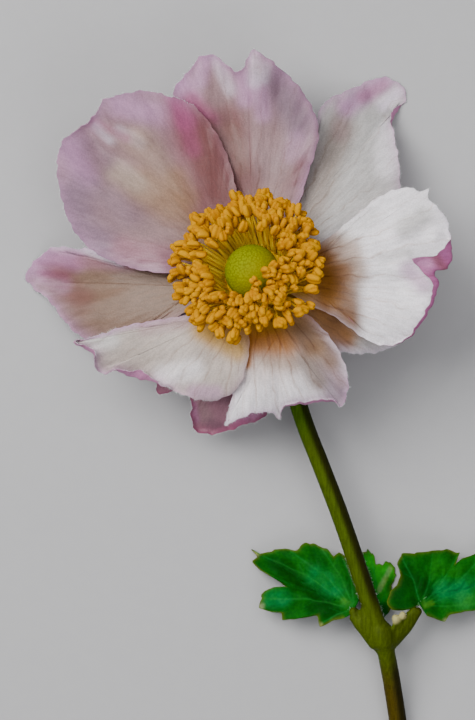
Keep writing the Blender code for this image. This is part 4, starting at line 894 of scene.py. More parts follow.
def add_piece(node, shapes, finishes, tint):
    """The visible piece for a node: a shape for each finish, and the colours of the first one's points."""
    verts, faces = joined(shapes)
    made = add_mesh("looks_" + node, verts, faces, finishes)
    indices = [number for number, shape in enumerate(shapes) for _ in shape[1]]
    made.data.polygons.foreach_set("material_index", indices)
    rgba = np.ones((len(verts), 4))
    rgba[:len(tint), :3] = np.clip(tint, 0, 1)
    made.data.color_attributes.new("tint", "FLOAT_COLOR", "POINT").data.foreach_set("color", rgba.ravel())
    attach(made, "root")
    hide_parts(node)
    return made


class Nodes:
    """Adds nodes to a material and links what they are given."""

    def __init__(self, name):
        self.made = bpy.data.materials.new(name)
        self.made.use_nodes = True
        self.tree = self.made.node_tree
        self.shader = self.tree.nodes["Principled BSDF"]
        self.output = self.tree.nodes["Material Output"]

    def add(self, kind, inputs=(), **settings):
        node = self.tree.nodes.new(kind)
        for key, value in settings.items():
            setattr(node, key, value)
        for key, value in dict(inputs).items():
            self.feed(node.inputs[key], value)
        return node

    def feed(self, socket, value):
        if isinstance(value, bpy.types.NodeSocket):
            self.tree.links.new(value, socket)
        else:
            socket.default_value = value

    def math(self, operation, *values):
        return self.add("ShaderNodeMath", dict(enumerate(values)), operation=operation).outputs[0]

    def mix(self, factor, a, b, blend_type="MIX"):
        return self.add("ShaderNodeMix", {0: factor, 6: a, 7: b}, data_type="RGBA",
                        blend_type=blend_type).outputs[2]

    def ramp(self, value, low, high, low_out=0.0, high_out=1.0):
        inputs = {"Value": value, "From Min": low, "From Max": high, "To Min": low_out, "To Max": high_out}
        return self.add("ShaderNodeMapRange", inputs, interpolation_type="SMOOTHSTEP").outputs["Result"]

    def noise(self, vector, scale, detail=2.0):
        inputs = {"Vector": vector, "Scale": scale, "Detail": detail}
        return self.add("ShaderNodeTexNoise", inputs).outputs["Fac"]

    def attribute(self, name, output):
        return self.add("ShaderNodeAttribute", attribute_name=name).outputs[output]

    def plan(self, x, y):
        return self.add("ShaderNodeCombineXYZ", {0: x, 1: y}).outputs[0]

    def shaded(self, colour, shade):
        """A colour made darker or lighter by a number."""
        light = self.add("ShaderNodeCombineColor", {0: shade, 1: shade, 2: shade}).outputs[0]
        return self.mix(1.0, colour, light, "MULTIPLY")

    def millimetres(self):
        """The object's own coordinates in millimetres."""
        place = self.add("ShaderNodeTexCoord").outputs["Object"]
        return self.add("ShaderNodeVectorMath", {0: place, 3: 1 / MM}, operation="SCALE").outputs[0]

    def bump(self, height, distance, strength, **onto):
        inputs = {"Height": height, "Distance": distance * MM, "Strength": strength, **onto}
        return self.add("ShaderNodeBump", inputs).outputs["Normal"]

    def set(self, **values):
        for key, value in values.items():
            self.feed(self.shader.inputs[key.replace("_", " ")], value)

    def glow_through(self, share, colour, normal):
        """Lets some light through, as a thin petal or leaf does."""
        through = self.add("ShaderNodeBsdfTranslucent", {"Color": colour, "Normal": normal}).outputs[0]
        mixed = self.add("ShaderNodeMixShader", {0: share, 1: self.shader.outputs[0], 2: through})
        self.tree.links.new(mixed.outputs[0], self.output.inputs["Surface"])


def vein_lines(nodes, azimuth, reach, wobble, per_radian, half_width):
    """A mask of thin lines that fan out, with a constant width in millimetres."""
    turn = nodes.math("ADD", nodes.math("MULTIPLY", azimuth, per_radian), wobble)
    off = nodes.math("ABSOLUTE", nodes.math("SUBTRACT", nodes.math("FRACT", turn), 0.5))
    distance = nodes.math("MULTIPLY", nodes.math("DIVIDE", off, per_radian), reach)
    return nodes.ramp(distance, half_width, 0.0)


def petal_material():
    nodes = Nodes("tepal_satin")
    tint = nodes.attribute("tint", "Color")
    fan = nodes.add("ShaderNodeSeparateXYZ", {0: nodes.attribute("fan", "Vector")})
    azimuth, reach, veins = fan.outputs
    flat = nodes.plan(nodes.math("MULTIPLY", azimuth, 5.0), nodes.math("MULTIPLY", reach, 0.16))
    wobble = nodes.math("MULTIPLY", nodes.math("SUBTRACT", nodes.noise(flat, 1.0, 3.0), 0.5), 1.1)
    lines = vein_lines(nodes, azimuth, reach, wobble, *MAIN_VEINS)
    for shift, *spacing, start, full, strength in FINER_VEINS:
        finer = vein_lines(nodes, azimuth, reach, nodes.math("ADD", wobble, shift), *spacing)
        finer = nodes.math("MULTIPLY", finer, nodes.ramp(reach, start, full, 0.0, strength))
        lines = nodes.math("MAXIMUM", lines, finer)
    lines = nodes.math("MULTIPLY", lines, nodes.ramp(nodes.noise(flat, 2.3, 2.0), 0.35, 0.6, 0.25, 1.0))
    vein = nodes.math("MULTIPLY", lines, nodes.math("MULTIPLY", veins, 0.72))
    fine = nodes.plan(nodes.math("MULTIPLY", azimuth, 38.0), nodes.math("MULTIPLY", reach, 0.45))
    streak = nodes.noise(fine, 1.0, 4.0)
    grain = nodes.noise(nodes.millimetres(), 4.2, 2.0)
    colour = nodes.mix(vein, tint, nodes.mix(1.0, tint, VEIN_BROWN, "MULTIPLY"))
    colour = nodes.shaded(colour, nodes.math("ADD", nodes.ramp(streak, 0.3, 0.7, 0.90, 1.07),
                                             nodes.ramp(grain, 0.35, 0.7, -0.08, 0.10)))
    relief = nodes.math("SUBTRACT", nodes.math("MULTIPLY", streak, 0.6), nodes.math("MULTIPLY", lines, 0.3))
    normal = nodes.bump(grain, 0.06, 0.7, Normal=nodes.bump(relief, 0.06, 0.5))
    nodes.set(Base_Color=colour, Roughness=0.42, Normal=normal, Metallic=0.0, Sheen_Weight=0.2,
              Sheen_Roughness=0.35, Specular_IOR_Level=0.35)
    nodes.glow_through(0.26, colour, normal)
    return nodes.made


def hair_material():
    nodes = Nodes("fine_hair")
    tone = nodes.ramp(nodes.noise(nodes.millimetres(), 0.8), 0.3, 0.7, 0.0, 1.0)
    colour = nodes.mix(tone, HAIR_PALE, HAIR_DULL)
    nodes.set(Base_Color=colour, Roughness=0.5, Metallic=0.0, Sheen_Weight=0.3)
    return nodes.made


def margin_hairs(sheet, draw):
    """Short hairs that stand out from a tepal's margin."""
    at = np.flatnonzero(sheet.share >= 0)
    picks = draw.choice(at[len(at) // 4:-len(at) // 4], size=MARGIN_HAIRS)
    between = draw.random((MARGIN_HAIRS, 1))
    ends = sheet.points[picks, -1] * between + sheet.points[picks + 1, -1] * (1 - between)
    lean = unit(ends - sheet.points[picks, -3]) + draw.normal(0, 0.35, (MARGIN_HAIRS, 3))
    return spikes(ends, lean, draw.uniform(*MARGIN_HAIR_LENGTHS, MARGIN_HAIRS), MARGIN_HAIR_RADIUS)


def make_tepals(hair):
    petal = petal_material()
    for number, tepal in enumerate(TEPALS):
        seed = TEPAL_SEED + number * SEED_STEP
        sheet = tepal_sheet(tepal, seed)
        upper, lower, veins = tepal_tint(tepal, sheet, seed)
        hairs = margin_hairs(sheet, np.random.default_rng(seed))
        made = add_piece(tepal.name, [shell(sheet, TEPAL_THICKNESS), hairs], (petal, hair),
                         shell_values(upper, lower))
        fan = np.dstack([*fan_place(tepal, sheet.points), veins]).reshape(-1, 3)
        hub_fan = (*fan_place(tepal, sheet.hub), veins[:, 0].mean())
        layer = made.data.attributes.new("fan", "FLOAT_VECTOR", "POINT")
        layer.data.foreach_set("vector", np.vstack(
            [fan, hub_fan, fan, hub_fan, np.zeros((len(hairs[0]), 3))]).ravel())


def leaf_sheet(leaf, seed):
    hub = np.array(leaf.hub)
    share = np.linspace(0, 1, LEAF_COLUMNS)
    margin = margin_line(leaf.rim, share, LEAF_FULLNESS)
    saw = (share * LEAF_TEETH) % 1
    tooth = np.minimum(saw / LEAF_TOOTH_PEAK, (1 - saw) / (1 - LEAF_TOOTH_PEAK))
    tooth = tooth * np.sin(math.pi * share) ** 0.5
    margin += unit(margin - hub) * (LEAF_TOOTH * tooth * (0.6 + 0.4 * np.sin(share * 41 + seed)))[:, None]
    loop, held = closed_loop(margin, share, np.array(leaf.foot[::-1]), LEAF_LINK_COLUMNS)
    along = np.arange(1, LEAF_ROWS + 1) / LEAF_ROWS
    place = hub + (loop - hub)[:, None, :] * along[:, None]
    middle = np.mean(leaf.foot, axis=0)

    def height_at(x, y):
        return leaf.lift + leaf.tilt[0] * (x - middle[0]) + leaf.tilt[1] * (y - middle[1])

    folds = fold_height(leaf.folds, np.maximum(held, 0)[:, None], along[None, :])
    height = height_at(place[..., 0], place[..., 1]) + np.where((held >= 0)[:, None], folds, 0)
    points = np.dstack([place, height])
    main, side = leaf_veins(leaf)
    gap = np.minimum(vein_gap(points, main), vein_gap(points, side) + 0.15)
    calm = ease((1 - along) / 0.12)[None, :]
    points[..., 2] += (LEAF_VEIN_DEPTH * ease(gap / 1.5) - 0.2) * calm
    points[..., 2] += waves(seed, *LEAF_DENTS)(points[..., 0], points[..., 1])
    rim_gap = np.linalg.norm(points[..., :2] - loop[:, None, :], axis=2)
    return Sheet(points, np.array([*hub, height_at(*hub)]), along, held, rim_gap)


def leaf_veins(leaf):
    """The leaf's main veins and the side veins that leave them, as lines in plan."""
    foot = np.mean(leaf.foot, axis=0)
    main, side = [], []
    for tip in np.array(LEAF_VEINS[leaf.name]):
        bend = (foot + tip) / 2 + (tip - foot)[::-1] * (0.05, -0.05)
        main.append(np.array([foot, bend, tip]))
        ahead = unit(tip - foot)
        for number, share in enumerate(np.arange(0.3, 0.95, SIDE_VEIN_STEP / np.linalg.norm(tip - foot))):
            root = foot + (tip - foot) * share + (bend - (foot + tip) / 2) * (1 - abs(2 * share - 1))
            turn = SIDE_VEIN_TURN * (1 if number % 2 else -1)
            run = np.array([ahead[0] * math.cos(turn) - ahead[1] * math.sin(turn),
                            ahead[0] * math.sin(turn) + ahead[1] * math.cos(turn)])
            side.append(np.array([root, root + run * SIDE_VEIN_REACH * (1.15 - share)]))
    return main, side


def vein_gap(points, lines):
    return np.min([segment_distance(points, line) for line in lines], axis=0)


def leaf_material():
    nodes = Nodes("leaf_blade")
    tint = nodes.attribute("tint", "Color")
    place = nodes.millimetres()
    grain = nodes.noise(place, 2.2, 3.0)
    # Painted sheen: bluish patches over the green.
    patch = nodes.ramp(nodes.noise(place, 0.3, 2.0), 0.4, 0.62, 0.0, 0.7)
    colour = nodes.mix(patch, tint, nodes.mix(1.0, tint, LEAF_SHEEN_TINT, "MULTIPLY"))
    colour = nodes.shaded(colour, nodes.ramp(grain, 0.3, 0.7, 0.85, 1.15))
    normal = nodes.bump(grain, 0.08, 0.5)
    nodes.set(Base_Color=colour, Roughness=0.6, Normal=normal, Metallic=0.0, Specular_IOR_Level=0.04)
    nodes.glow_through(0.06, colour, normal)
    return nodes.made


def make_leaves():
    finish = leaf_material()
    for number, leaf in enumerate(LEAVES):
        seed = LEAF_SEED + number * SEED_STEP
        sheet = leaf_sheet(leaf, seed)
        main, side = leaf_veins(leaf)
        points = sheet.points
        patches = waves(seed + 3, *LEAF_PATCHES)(points[..., 0], points[..., 1])
        tint = blend(LEAF_GREEN, LEAF_DARK, 0.45 * ease(0.5 + patches))
        tint = painted(tint, points, LEAF_STROKES[leaf.name])
        tint = blend(tint, LEAF_PALE, 0.10 * np.exp(-((vein_gap(points, side) / 0.14) ** 2)))
        tint = blend(tint, LEAF_PALE, 0.28 * np.exp(-((vein_gap(points, main) / 0.18) ** 2)))
        tint = blend(tint, LEAF_EDGE, 0.6 * np.exp(-sheet.gap / 0.22) * (sheet.share >= 0)[:, None])
        lower = np.broadcast_to(LEAF_UNDERSIDE, points.shape)
        add_piece(leaf.name, [shell(sheet, LEAF_THICKNESS)], (finish,), shell_values(tint, lower))


ANTHER_SIDES = 18
ANTHER_ROWS = 11
ANTHER_SIZE = (1.30, 1.34, 2.25)
EXTRA_STAMENS = 215
INNER_TOWARDS = math.radians(-50)
INNER_SHIFT = 1.4
INNER_RISE = 1.5
FILAMENT_SIDES = 6
FILAMENT_POINTS = 9
FILAMENT_RADII = (0.25, 0.15)


def capped_rings(rows, sides):
    """Faces of a tube of rings whose two ends each close on a point after the rings."""
    faces = []
    for row in range(rows - 1):
        for k in range(sides):
            a, b = row * sides + k, row * sides + (k + 1) % sides
            faces.append([a, b, b + sides, a + sides])
    count, last = rows * sides, (rows - 1) * sides
    for k in range(sides):
        after = (k + 1) % sides
        faces += [[after, k, count], [last + k, last + after, count + 1]]
    return faces


def anther_template():
    """A pouch of two lobes with a groove between them, one unit long and wide, standing on Z."""
    turn = np.arange(ANTHER_SIDES) / ANTHER_SIDES * math.tau
    lobe, off = 0.34, 0.245
    reach = off * np.abs(np.cos(turn)) + np.sqrt(lobe ** 2 - (off * np.sin(turn)) ** 2)
    rise = np.arange(1, ANTHER_ROWS) / ANTHER_ROWS * math.pi
    swell = np.sin(rise) ** 0.55
    rings = np.stack([
        np.outer(swell, reach * np.cos(turn)), np.outer(swell, reach * np.sin(turn) * 1.15),
        np.outer(-0.5 * np.cos(rise), 0.86 + 0.14 * np.abs(np.cos(turn)) ** 0.7)], axis=-1)
    verts = np.vstack([rings.reshape(-1, 3), (0, 0, -0.42), (0, 0, 0.42)])
    # Near 1 on the lobes and 0 in the groove; it sets the painted shade in the groove.
    ridge = np.concatenate([np.tile(np.abs(np.cos(turn)) ** 0.5, len(rings)), [0.3, 0.3]])
    return verts, capped_rings(len(rings), ANTHER_SIDES), ridge


def stamen_layout():
    """Each stamen's root, bow, tip and anther direction, in the bloom's own frame."""
    draw = random.Random(STAMEN_SEED)
    more = random.Random(STAMEN_SEED + 1)
    stamens = []
    for i in range(STAMEN_COUNT + EXTRA_STAMENS):
        extra = i >= STAMEN_COUNT
        source = more if extra else draw
        share = more.random() ** 0.8 if extra else (i + 0.5) / STAMEN_COUNT
        azimuth = i * GOLDEN_ANGLE + source.uniform(-0.12, 0.12)
        near = max(0.0, math.cos(azimuth - INNER_TOWARDS)) ** 2 if extra and i % 3 else 0.0
        share *= 1 - 0.6 * near
        reach = 6.3 + 5.7 * share ** 0.85 + source.uniform(-0.45, 0.45)
        reach += RING_SHIFT * math.cos(azimuth - RING_SHIFT_TOWARDS)
        height = 7.4 - 3.1 * share + source.uniform(-0.6, 0.6)
        root = Vector((5.0 + 0.6 * share, 0, -1.0 - 0.2 * share))
        tip = Vector((reach, 0, height))
        bow = root.lerp(tip, 0.5) + Vector((-0.2, 0, 0.8))
        swing = Matrix.Rotation(azimuth, 3, "Z")
        side = Matrix.Rotation(azimuth + source.uniform(-0.1, 0.1), 3, "Z")
        lean = Vector((0.55, source.uniform(-0.5, 0.5), source.uniform(-0.3, 0.2)))
        direction = (tip - bow).normalized() + lean
        if extra:
            tip.z -= source.uniform(0.2, 1.5)
            tip.x -= 1.0 * (1 - share) ** 2
        tip.x -= INNER_SHIFT * near * (1 - share)
        tip.z += INNER_RISE * near
        stamens.append((np.array(swing @ root), np.array(swing @ bow), np.array(side @ tip),
                        np.array((side @ direction).normalized())))
    return stamens


def tube_rings(route, radii, sides):
    """Points and faces of a closed round tube along a route."""
    route = np.asarray(route, float)
    ahead = unit(np.gradient(route, axis=0))
    side = unit(np.cross(ahead[0], (0.3, 0.9, 0.2)))
    turn = np.arange(sides) / sides * math.tau
    rings = []
    for point, forward, radius in zip(route, ahead, radii):
        side = unit(side - forward * (side @ forward))
        other = np.cross(forward, side)
        rings.append(point + radius * (np.outer(np.cos(turn), side) + np.outer(np.sin(turn), other)))
    ends = (route[0] - ahead[0] * radii[0] * 0.6, route[-1] + ahead[-1] * radii[-1] * 0.6)
    return np.vstack([*rings, *ends]), capped_rings(len(route), sides)


ANTHER_BRIGHT = (0.60, 0.290, 0.0)
ANTHER_WARM = (0.54, 0.235, 0.0)
ANTHER_SHADE = (0.33, 0.105, 0.0)
FILAMENT_PALE = (0.95, 0.73, 0.05)
FILAMENT_GOLD = (0.92, 0.56, 0.0)
COLLAR_GOLD = (0.84, 0.52, 0.0)
COLLAR_SIDES = 64
COLLAR_PROFILE = (
    (4.2, -0.45), (5.5, -0.85), (5.85, -1.25), (5.7, -1.55), (4.4, -1.85), (3.45, -2.0), (3.45, -0.75),
)
ANTHER_SEED = 5
ANTHER_SPREAD = 0.36
ANTHER_SCALES = (0.86, 1.12)
# How far the painted shade at an anther's foot reaches.
ANTHER_FOOT = 0.22
ANTHER_PAST_TIP = 0.22


def stamen_material():
    nodes = Nodes("anther_wax")
    grain = nodes.noise(nodes.millimetres(), 5.0, 3.0)
    colour = nodes.shaded(nodes.attribute("tint", "Color"), nodes.ramp(grain, 0.3, 0.7, 0.92, 1.08))
    normal = nodes.bump(grain, 0.08, 0.5)
    nodes.set(Base_Color=colour, Roughness=0.42, Normal=normal, Metallic=0.0, Specular_IOR_Level=0.0)
    nodes.glow_through(0.25, colour, normal)
    return nodes.made


def ring_shape(profile, steps):
    """A closed ring turned about Z from a closed profile, as points and faces."""
    profile = np.asarray(profile, float)
    turn = np.arange(steps) / steps * math.tau
    verts = np.stack([np.outer(np.cos(turn), profile[:, 0]), np.outer(np.sin(turn), profile[:, 0]),
                      np.tile(profile[:, 1], (steps, 1))], axis=-1).reshape(-1, 3)
    size = len(profile)
    faces = []
    for k in range(steps):
        for p in range(size):
            a, b = k * size + p, k * size + (p + 1) % size
            faces.append([a, b, (b + size) % (steps * size), (a + size) % (steps * size)])
    return verts, faces


def make_stamens():
    template, faces, ridge = anther_template()
    foot_shade = np.exp(-(((template[:, 2] + 0.5) / ANTHER_FOOT) ** 2))
    draw = np.random.default_rng(ANTHER_SEED)
    ring, ring_faces = ring_shape(COLLAR_PROFILE, COLLAR_SIDES)
    shapes = [(in_bloom(ring), [face[::-1] for face in ring_faces])]
    colours = [np.broadcast_to(COLLAR_GOLD, ring.shape)]
    t = np.linspace(0, 1, FILAMENT_POINTS)[:, None]
    radii = np.linspace(*FILAMENT_RADII, FILAMENT_POINTS)
    along = np.concatenate([np.repeat(t[:, 0], FILAMENT_SIDES), [0, 1]])
    thread_colours = blend(FILAMENT_PALE, FILAMENT_GOLD, along ** 1.5)
    for root, bow, tip, direction in stamen_layout():
        direction = unit(direction + draw.normal(0, ANTHER_SPREAD, 3))
        size = np.array(ANTHER_SIZE) * draw.uniform(*ANTHER_SCALES)
        size = size * (draw.uniform(0.9, 1.1), 1, draw.uniform(0.85, 1.1))
        roll = Matrix.Rotation(draw.uniform(0, math.tau), 3, "Z")
        turned = np.array(Vector(direction).to_track_quat("Z", "X").to_matrix() @ roll)
        shape = template * size
        shape[:, 1] += draw.uniform(-0.18, 0.18) * (shape[:, 2] / size[2] * 2) ** 2
        bright = blend(ANTHER_BRIGHT, ANTHER_WARM, draw.random())
        # Painted shade in the groove between the lobes and at the anther's foot.
        tint = blend(ANTHER_SHADE, bright, 0.2 + 0.8 * ridge)
        shapes.append((in_bloom(shape @ turned.T + tip + direction * size[2] * ANTHER_PAST_TIP), faces))
        colours.append(blend(tint, ANTHER_SHADE, 0.55 * foot_shade))
        route = root * (1 - t) ** 2 + 2 * bow * t * (1 - t) + (tip - direction * 0.2) * t ** 2
        shapes.append(tube_rings(in_bloom(route), radii, FILAMENT_SIDES))
        colours.append(thread_colours)
    add_piece("stamens", [joined(shapes)], (stamen_material(),), np.vstack(colours))


HEAD_COLUMNS = 200
HEAD_ROWS = 110
CARPEL_SPACING = 0.46
CARPEL_HEIGHT = 0.045
HEAD_GREEN = (0.165, 0.19, 0.0)
HEAD_LIGHT = (0.18, 0.22, 0.0)
HEAD_HOLLOW_SHADE = (0.12, 0.135, 0.0)
HEAD_SHADE = (0.23, 0.20, 0.0)
HEAD_SHADE_TOWARDS = (0.75, -0.62, -0.22)
CARPEL_SEED = 8


def carpel_material():
    nodes = Nodes("carpel_button")
    grain = nodes.noise(nodes.millimetres(), 6.0, 2.0)
    colour = nodes.shaded(nodes.attribute("tint", "Color"), nodes.ramp(grain, 0.3, 0.7, 0.9, 1.1))
    nodes.set(Base_Color=colour, Roughness=0.5, Normal=nodes.bump(grain, 0.05, 0.5), Metallic=0.0,
              Specular_IOR_Level=0.02)
    return nodes.made


def make_carpel_head():
    """The green button: a dome of tightly packed small carpels."""
    low = math.acos(-HEAD_CENTRE / HEAD_RADIUS)
    rise = np.linspace(0, low, HEAD_ROWS + 1)[1:]
    turn = np.arange(HEAD_COLUMNS) / HEAD_COLUMNS * math.tau
    ray = np.stack([np.outer(np.sin(rise), np.cos(turn)), np.outer(np.sin(rise), np.sin(turn)),
                    np.repeat(np.cos(rise)[:, None], HEAD_COLUMNS, axis=1)], axis=-1).reshape(-1, 3)
    ray = np.vstack([ray, (0, 0, 1)])
    count = int(2 * math.tau * HEAD_RADIUS ** 2 / CARPEL_SPACING ** 2)
    tree = kdtree.KDTree(count)
    draw = random.Random(CARPEL_SEED)
    for i in range(count):
        level = 1 - 2 * (i + 0.5) / count
        around = i * GOLDEN_ANGLE
        spot = Vector((math.cos(around), math.sin(around), 0)) * math.sqrt(1 - level ** 2)
        spot.z = level
        jitter = Vector([draw.uniform(-1, 1) for _ in range(3)]) * CARPEL_SPACING * 0.3
        tree.insert(spot * HEAD_RADIUS + jitter, i)
    tree.balance()
    gap = np.array([tree.find(Vector(r) * HEAD_RADIUS)[2] for r in ray])
    bump = np.clip(1 - (gap / (CARPEL_SPACING * 0.55)) ** 2, 0, 1)
    verts = ray * (HEAD_RADIUS - 0.02 + CARPEL_HEIGHT * bump)[:, None] + (0, 0, HEAD_CENTRE)
    verts = np.vstack([verts, (0, 0, float(verts[:-1, 2].min()))])
    # Painted shade in the hollows between the carpels and painted light on their tops, then painted shade on
    # the side of the button turned from the lamps.
    colours = blend(HEAD_HOLLOW_SHADE, HEAD_GREEN, np.append(ease(bump * 1.6), 0))
    colours = blend(colours, HEAD_LIGHT, np.append(0.55 * ease((bump - 0.5) * 2), 0))
    away = np.append(ray @ HEAD_SHADE_TOWARDS, 0)
    colours = blend(colours, HEAD_SHADE, 0.85 * ease(away * 0.8 + 0.4))
    faces = [face[:1] + face[:0:-1] for face in capped_rings(HEAD_ROWS, HEAD_COLUMNS)]
    add_piece("carpel_head", [(in_bloom(verts), faces)], (carpel_material(),), colours)


STEM_VOXEL = 0.22
STEM_HAIRS = 2000
STEM_HAIR_LENGTHS = (0.2, 0.55)
STEM_HAIR_RADIUS = 0.013
STEM_HAIR_SEED = 21
STEM_SIDES = 24
ARM_SIDES = 20
BUD_SIDES = 14
STEM_LEAN = math.radians(16.7)
STEM_SHADE_TOWARDS = (math.cos(0.29), math.sin(0.29), 0)
STEM_FRESH = (0.062, 0.150, 0.001)
STEM_GREEN = (0.039, 0.063, 0.001)
STEM_BROWN = (0.044, 0.031, 0.001)
STEM_PAINTED_SHADE = (0.009, 0.007, 0.0)
SHEATH_GREEN = (0.042, 0.062, 0.001)
BUD_CREAM = (0.42, 0.38, 0.16)
# Where along the flower the stem starts to turn green and brown, and how long each change is.
GREEN_FROM = -21
BROWN_FROM = -62
STEM_CHANGE = 9
KNOT_CENTRE = (22.0, -60.0, 6.0)
KNOT_SIZE = (8.5, 5.0, 6.0)


def plan_route(points, per_span):
    """A rounded line through points in space."""
    points = np.asarray(points, float)
    knots = np.concatenate([[0], np.cumsum(np.linalg.norm(np.diff(points, axis=0), axis=1))])
    spans = [np.linspace(a, b, per_span, endpoint=False) for a, b in zip(knots, knots[1:])]
    at = np.concatenate([*spans, knots[-1:]])
    return spline(knots, points, at)


def ball(centre, size, turn=0.0):
    """An oval lump as points and faces."""
    shape = bmesh.new()
    bmesh.ops.create_icosphere(shape, subdivisions=3, radius=1)
    bmesh.ops.scale(shape, vec=size, verts=shape.verts)
    bmesh.ops.rotate(shape, matrix=Matrix.Rotation(turn, 3, "Z"), verts=shape.verts)
    verts = np.array([vert.co for vert in shape.verts]) + centre
    faces = [[vert.index for vert in face.verts] for face in shape.faces]
    shape.free()
    return verts, faces


def stem_shapes():
    """The overlapping round shapes that the stem grows together from."""
    profile = ((0.02, RECEPTACLE_TOP), (RECEPTACLE_RADIUS - 0.3, RECEPTACLE_TOP),
               (RECEPTACLE_RADIUS, RECEPTACLE_TOP - 0.4), (RECEPTACLE_RADIUS, RECEPTACLE_BOTTOM),
               (STEM_RADIUS + 0.25, STALK_TOP), (0.02, STALK_TOP))
    ring, faces = ring_shape(profile, 32)
    levels = (RECEPTACLE_BOTTOM + 1.5, STALK_TOP + 1.2, STALK_TOP - 0.8)
    head = in_bloom(np.array([(0, 0, level) for level in levels]))
    route = plan_route(np.vstack([head, STEM_ROUTE]), 6)
    shapes = [(in_bloom(ring), [face[::-1] for face in faces]),
              tube_rings(route, np.full(len(route), STEM_RADIUS), STEM_SIDES),
              ball(NODE_CENTRE, NODE_SIZE, NODE_TURN)]
    for points, radii in ARMS:
        route = plan_route(points, 8)
        swell = eased_table(list(zip((0, 0.5, 1), radii)), np.linspace(0, 1, len(route)))[:, 0]
        shapes.append(tube_rings(route, swell, ARM_SIDES))
    for points, radius in BUDS:
        route = plan_route(points, 6)
        shapes.append(tube_rings(route, np.full(len(route), BUD_STALK_RADIUS), BUD_SIDES))
        shapes.append(ball(points[-1], (radius, radius * 1.25, radius * 0.9)))
    return shapes


def stem_material():
    nodes = Nodes("stem_skin")
    place = nodes.millimetres()
    along = nodes.add("ShaderNodeMapping", {"Vector": place, "Rotation": (0, 0, -STEM_LEAN),
                                            "Scale": (3.2, 0.22, 3.2)}).outputs[0]
    ribs = nodes.noise(along, 1.0, 3.0)
    grain = nodes.noise(place, 4.0, 3.0)
    shade = nodes.math("ADD", nodes.ramp(ribs, 0.3, 0.7, 0.75, 1.15), nodes.ramp(grain, 0.3, 0.7, -0.1, 0.1))
    normal = nodes.bump(nodes.math("ADD", ribs, nodes.math("MULTIPLY", grain, 0.5)), 0.15, 0.7)
    nodes.set(Base_Color=nodes.shaded(nodes.attribute("tint", "Color"), shade), Roughness=0.55, Normal=normal,
              Metallic=0.0, Specular_IOR_Level=0.05)
    return nodes.made


def grown_together(shapes):
    """One even skin over overlapping shapes: its places, normals and faces."""
    made = add_mesh("looks_stem", *joined(shapes), ())
    skin = made.modifiers.new("skin", "REMESH")
    skin.mode = "VOXEL"
    skin.voxel_size = STEM_VOXEL * MM
    even = made.modifiers.new("even", "SMOOTH")
    even.factor, even.iterations = 0.5, 5
    bpy.context.view_layer.update()
    shown = made.evaluated_get(bpy.context.evaluated_depsgraph_get())
    mesh = bpy.data.meshes.new_from_object(shown)
    bpy.data.objects.remove(made)
    places, normals = np.empty((2, len(mesh.vertices) * 3))
    mesh.vertices.foreach_get("co", places)
    mesh.vertices.foreach_get("normal", normals)
    faces = [list(face.vertices) for face in mesh.polygons]
    return places.reshape(-1, 3) / MM - BED, normals.reshape(-1, 3), faces


def make_stem(hair):
    places, normals, faces = grown_together(stem_shapes())
    draw = np.random.default_rng(STEM_HAIR_SEED)
    picks = draw.choice(np.flatnonzero((places[:, 1] < -6) & (normals[:, 2] < 0.4)), size=STEM_HAIRS)
    lean = normals[picks] + draw.normal(0, 0.3, (STEM_HAIRS, 3)) + (0, 0.15, 0)
    hairs = spikes(places[picks], lean, draw.uniform(*STEM_HAIR_LENGTHS, STEM_HAIRS), STEM_HAIR_RADIUS)
    side = normals @ STEM_SHADE_TOWARDS
    colours = blend(STEM_FRESH, STEM_GREEN, ease((GREEN_FROM - places[:, 1]) / STEM_CHANGE))
    colours = blend(colours, STEM_BROWN, ease((BROWN_FROM - places[:, 1]) / STEM_CHANGE))
    # Painted shade on the side of the stem turned from the key lamp.
    colours = blend(colours, STEM_PAINTED_SHADE, 0.9 * ease(side * 1.6 + 0.3))
    knot = np.linalg.norm((places - KNOT_CENTRE) / KNOT_SIZE, axis=1)
    colours = blend(colours, SHEATH_GREEN, 0.7 * ease(1.5 - knot))
    for points, radius in BUDS:
        away = np.linalg.norm(places - points[-1], axis=1)
        colours = blend(colours, BUD_CREAM, 0.8 * np.exp(-((away / radius / 1.3) ** 6)))
    add_piece("stem", [(places, faces), hairs], (stem_material(), hair), colours)


FLOOR_GREY = (0.34, 0.34, 0.35)
VIEW_MIDDLE = (-2.4, -15.0)
VIEW_HEIGHT = 666
LENS = 200
LAMP_TARGET = np.array((0, -0.01, 0.012))
# Each lamp: its name, power, size, direction as (azimuth, elevation) in degrees, distance and colour.
LAMPS = (
    ("key", 6.2, 0.40, (142, 50), 0.60, (1.0, 0.985, 0.96)),
    ("top", 2.4, 0.60, (60, 72), 0.75, (1, 1, 1)),
    ("side", 2.2, 0.50, (-60, 42), 0.70, (1, 1, 1)),
)
SKY = (0.92, 0.95, 1.0, 1)
SKY_STRENGTH = 0.24


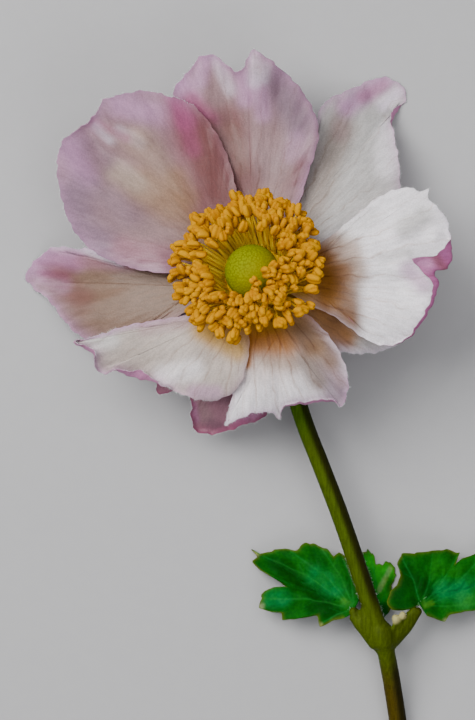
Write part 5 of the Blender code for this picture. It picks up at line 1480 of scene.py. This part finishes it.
def make_floor():
    mesh = bpy.data.meshes.new("table_top")
    mesh.from_pydata([(-2, -2, 0), (2, -2, 0), (2, 2, 0), (-2, 2, 0)], [], [(0, 1, 2, 3)])
    nodes = Nodes("table_paper")
    tone = nodes.ramp(nodes.noise(nodes.millimetres(), 0.4, 3.0), 0.3, 0.7, 0.0, 1.0)
    colour = nodes.mix(tone, (*[c * 0.985 for c in FLOOR_GREY], 1), (*FLOOR_GREY, 1))
    nodes.set(Base_Color=colour, Roughness=0.85, Metallic=0.0)
    mesh.materials.append(nodes.made)
    floor = bpy.data.objects.new("table_top", mesh)
    bpy.context.scene.collection.objects.link(floor)


def add_light(name, power, size, direction, distance, colour):
    """A soft square lamp that shines on the bloom."""
    lamp = bpy.data.lights.new(name, "AREA")
    lamp.energy, lamp.size, lamp.color = power, size, colour
    azimuth, elevation = map(math.radians, direction)
    ray = np.array((math.cos(azimuth) * math.cos(elevation), math.sin(azimuth) * math.cos(elevation),
                    math.sin(elevation)))
    place = LAMP_TARGET + distance * ray
    made = bpy.data.objects.new(name, lamp)
    made.location = place
    made.rotation_euler = (Vector(LAMP_TARGET) - Vector(place)).to_track_quat("-Z", "Y").to_euler()
    bpy.context.scene.collection.objects.link(made)


def make_camera_and_lights():
    camera = bpy.data.cameras.new("camera")
    camera.lens, camera.sensor_width, camera.clip_start = LENS, 36, 0.05
    middle = (np.array((*VIEW_MIDDLE, 0)) + BED) * MM
    holder = bpy.data.objects.new("camera", camera)
    holder.location = (middle[0], middle[1], VIEW_HEIGHT * MM)
    bpy.context.scene.collection.objects.link(holder)
    bpy.context.scene.camera = holder
    for lamp in LAMPS:
        add_light(*lamp)
    world = bpy.data.worlds.new("studio")
    world.use_nodes = True
    sky = world.node_tree.nodes["Background"]
    sky.inputs["Color"].default_value = SKY
    sky.inputs["Strength"].default_value = SKY_STRENGTH
    bpy.context.scene.world = world


head_low, head_high = (np.array(corner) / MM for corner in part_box("carpel_head"))
BED = np.array([*((head_low + head_high) / 2)[:2] - np.array(HEAD_BOX_MIDDLE), 0.0])

fine_hair = hair_material()
make_tepals(fine_hair)
make_leaves()
make_stamens()
make_carpel_head()
make_stem(fine_hair)
make_floor()
make_camera_and_lights()
